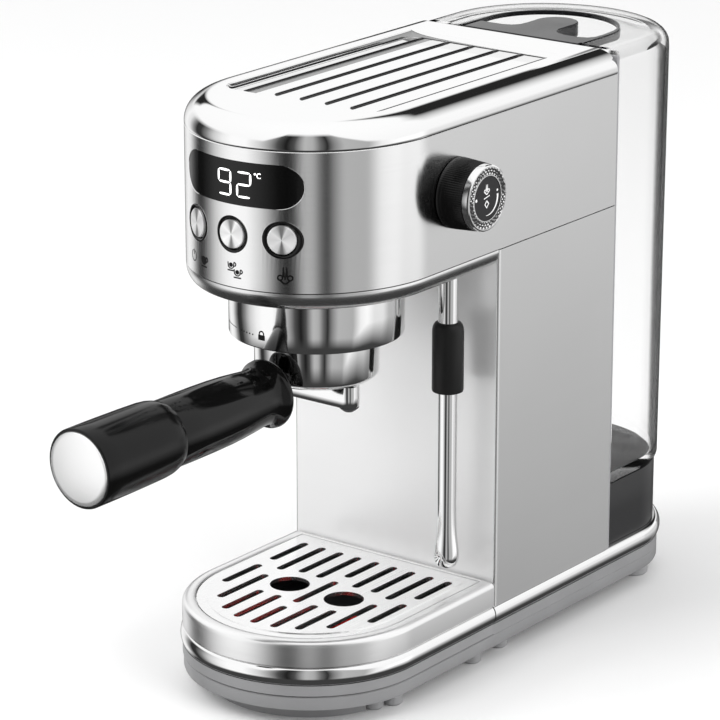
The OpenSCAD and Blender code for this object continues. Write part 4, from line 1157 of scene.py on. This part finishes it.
# Brightness of the studio by compass direction, in degrees from the front towards the machine's right
AROUND = [(-180, 0.30), (-165, 0.12), (-150, 0.03), (-134, 0.04), (-124, 0.75), (-113, 1.0), (-103, 0.85),
          (-94, 0.30), (-87, 0.03), (-79, 0.04), (-70, 0.25), (-60, 0.65), (-48, 0.95), (-38, 1.08),
          (-22, 1.08), (-8, 0.72), (0, 0.42), (9, 0.08), (17, 0.01), (24, 0.08), (33, 0.52), (40, 0.46),
          (46, 0.16), (52, 0.02), (58, 0.26), (66, 0.50), (86, 0.46), (97, 0.95), (115, 1.20), (134, 1.22),
          (146, 0.72)]
# Brightness above the level pattern, from straight down to straight up
HEIGHTS = [(-1, 1.0), (0.2, 1.05), (1, 1.1)]
# Height at which the level pattern ends, by compass direction
LEVEL_END = [(-180, 0.12), (-128, 0.12), (-105, 0.25), (-60, 0.30), (-5, 0.30), (10, 0.80),
             (60, 0.80), (85, 0.2), (110, 0.0), (180, 0.0)]
# How sharply the level pattern ends
LEVEL_FADE = 7.0
# Depth at which the floor is dark, and how far above that it starts to darken
FLOOR_DEPTH = [(-180, 0.56), (90, 0.56), (118, 0.50), (180, 0.50)]
FLOOR_RISE = [(-180, 0.12), (90, 0.12), (118, 0.30), (180, 0.30)]
# Dark cards behind the machine: by compass direction and by height
RIGHT_CARD = [(-180, 1), (-152, 1), (-147, 0), (150, 0), (167, 0.55), (178, 1), (180, 1)]
RIGHT_CARD_HEIGHT = [(0.27, 0), (0.31, 1), (0.66, 1), (0.76, 0)]
LEFT_CARD = [(-139.5, 0), (-136.5, 1), (-126, 1), (-120, 0)]
LEFT_CARD_HEIGHT = [(0.15, 0), (0.19, 1), (0.31, 1), (0.35, 0)]


def make_world():
    """A studio of bright and dark panels that only reflections show. The camera sees plain white."""
    world = bpy.data.worlds.new("studio")
    bpy.context.scene.world = world
    world.use_nodes = True
    nodes, links = world.node_tree.nodes, world.node_tree.links
    coords = nodes.new("ShaderNodeTexCoord")
    parts = nodes.new("ShaderNodeSeparateXYZ")
    links.new(coords.outputs["Generated"], parts.inputs["Vector"])

    def calculate(operation, *values, clamp=False):
        return calculated(nodes, links, operation, *values, clamp=clamp)

    def by_compass(stops):
        return ramp(nodes, links, compass, [(a / 360 + 0.5, tone) for a, tone in stops])

    def by_height(stops):
        return ramp(nodes, links, height, [(z / 2 + 0.5, tone) for z, tone in stops])

    def mixed(factor, first, second):
        node = nodes.new("ShaderNodeMix")
        node.data_type = "RGBA"
        feed(links, node.inputs["Factor"], factor)
        feed(links, node.inputs[6], first)
        feed(links, node.inputs[7], second)
        return node.outputs[2]

    rise = parts.outputs["Z"]
    front = calculate("MULTIPLY", parts.outputs["Y"], -1.0)
    angle = calculate("ARCTAN2", parts.outputs["X"], front)
    compass = calculate("MULTIPLY_ADD", angle, 0.5 / math.pi, 0.5)
    height = calculate("MULTIPLY_ADD", rise, 0.5, 0.5)
    below = calculate("SUBTRACT", by_compass(LEVEL_END), rise)
    level = calculate("MULTIPLY_ADD", below, LEVEL_FADE, 0.5, clamp=True)
    panels = mixed(level, by_height(HEIGHTS), by_compass(AROUND))
    depth = calculate("ADD", rise, by_compass(FLOOR_DEPTH))
    lit = calculate("DIVIDE", depth, by_compass(FLOOR_RISE), clamp=True)
    floored = mixed(lit, (0.05, 0.05, 0.05, 1), panels)
    right_card = calculate("MULTIPLY", by_compass(RIGHT_CARD), by_height(RIGHT_CARD_HEIGHT))
    left_card = calculate("MULTIPLY", by_compass(LEFT_CARD), by_height(LEFT_CARD_HEIGHT))
    carded = mixed(calculate("MAXIMUM", right_card, left_card), floored, (0.02, 0.02, 0.02, 1))
    path = nodes.new("ShaderNodeLightPath")
    seen = mixed(path.outputs["Is Camera Ray"], carded, (1, 1, 1, 1))
    links.new(seen, nodes["Background"].inputs["Color"])


def make_light(name, x, y, z, size, power):
    data = bpy.data.lights.new(name, "AREA")
    data.size = size
    data.energy = power
    light = bpy.data.objects.new(name, data)
    light.location = place(x, y, z)
    light.rotation_euler = (light.location - place(0, 0, 150)).to_track_quat("Z", "Y").to_euler()
    light.visible_glossy = False
    bpy.context.scene.collection.objects.link(light)


def make_stage():
    mesh = bpy.data.meshes.new("floor")
    reach = 8
    corners = [(-reach, -reach, 0), (reach, -reach, 0), (reach, reach, 0), (-reach, reach, 0)]
    mesh.from_pydata(corners, [], [(0, 1, 2, 3)])
    floor = bpy.data.objects.new("floor", mesh)
    floor.visible_glossy = False
    mesh.materials.append(material("pale_floor", (0.92, 0.92, 0.92), 0.9))
    bpy.context.scene.collection.objects.link(floor)
    make_light("key", -900, -1500, 1700, 1.4, 26)
    make_light("side", 1700, -300, 1000, 1.2, 14)
    bpy.context.scene.view_settings.view_transform = "Standard"


make_camera()
make_world()
make_stage()
make_base()
make_tray()
make_column()
make_head()
make_lip()
make_cover()
make_cup_plate()
make_display()
make_trims()
make_buttons()
make_print()
make_collar()
make_bowl()
make_spout()
make_handle()
make_knob_body()
make_knob_face()
make_knob_marks()
make_wand()
make_tank()
make_seat()
make_bridge()
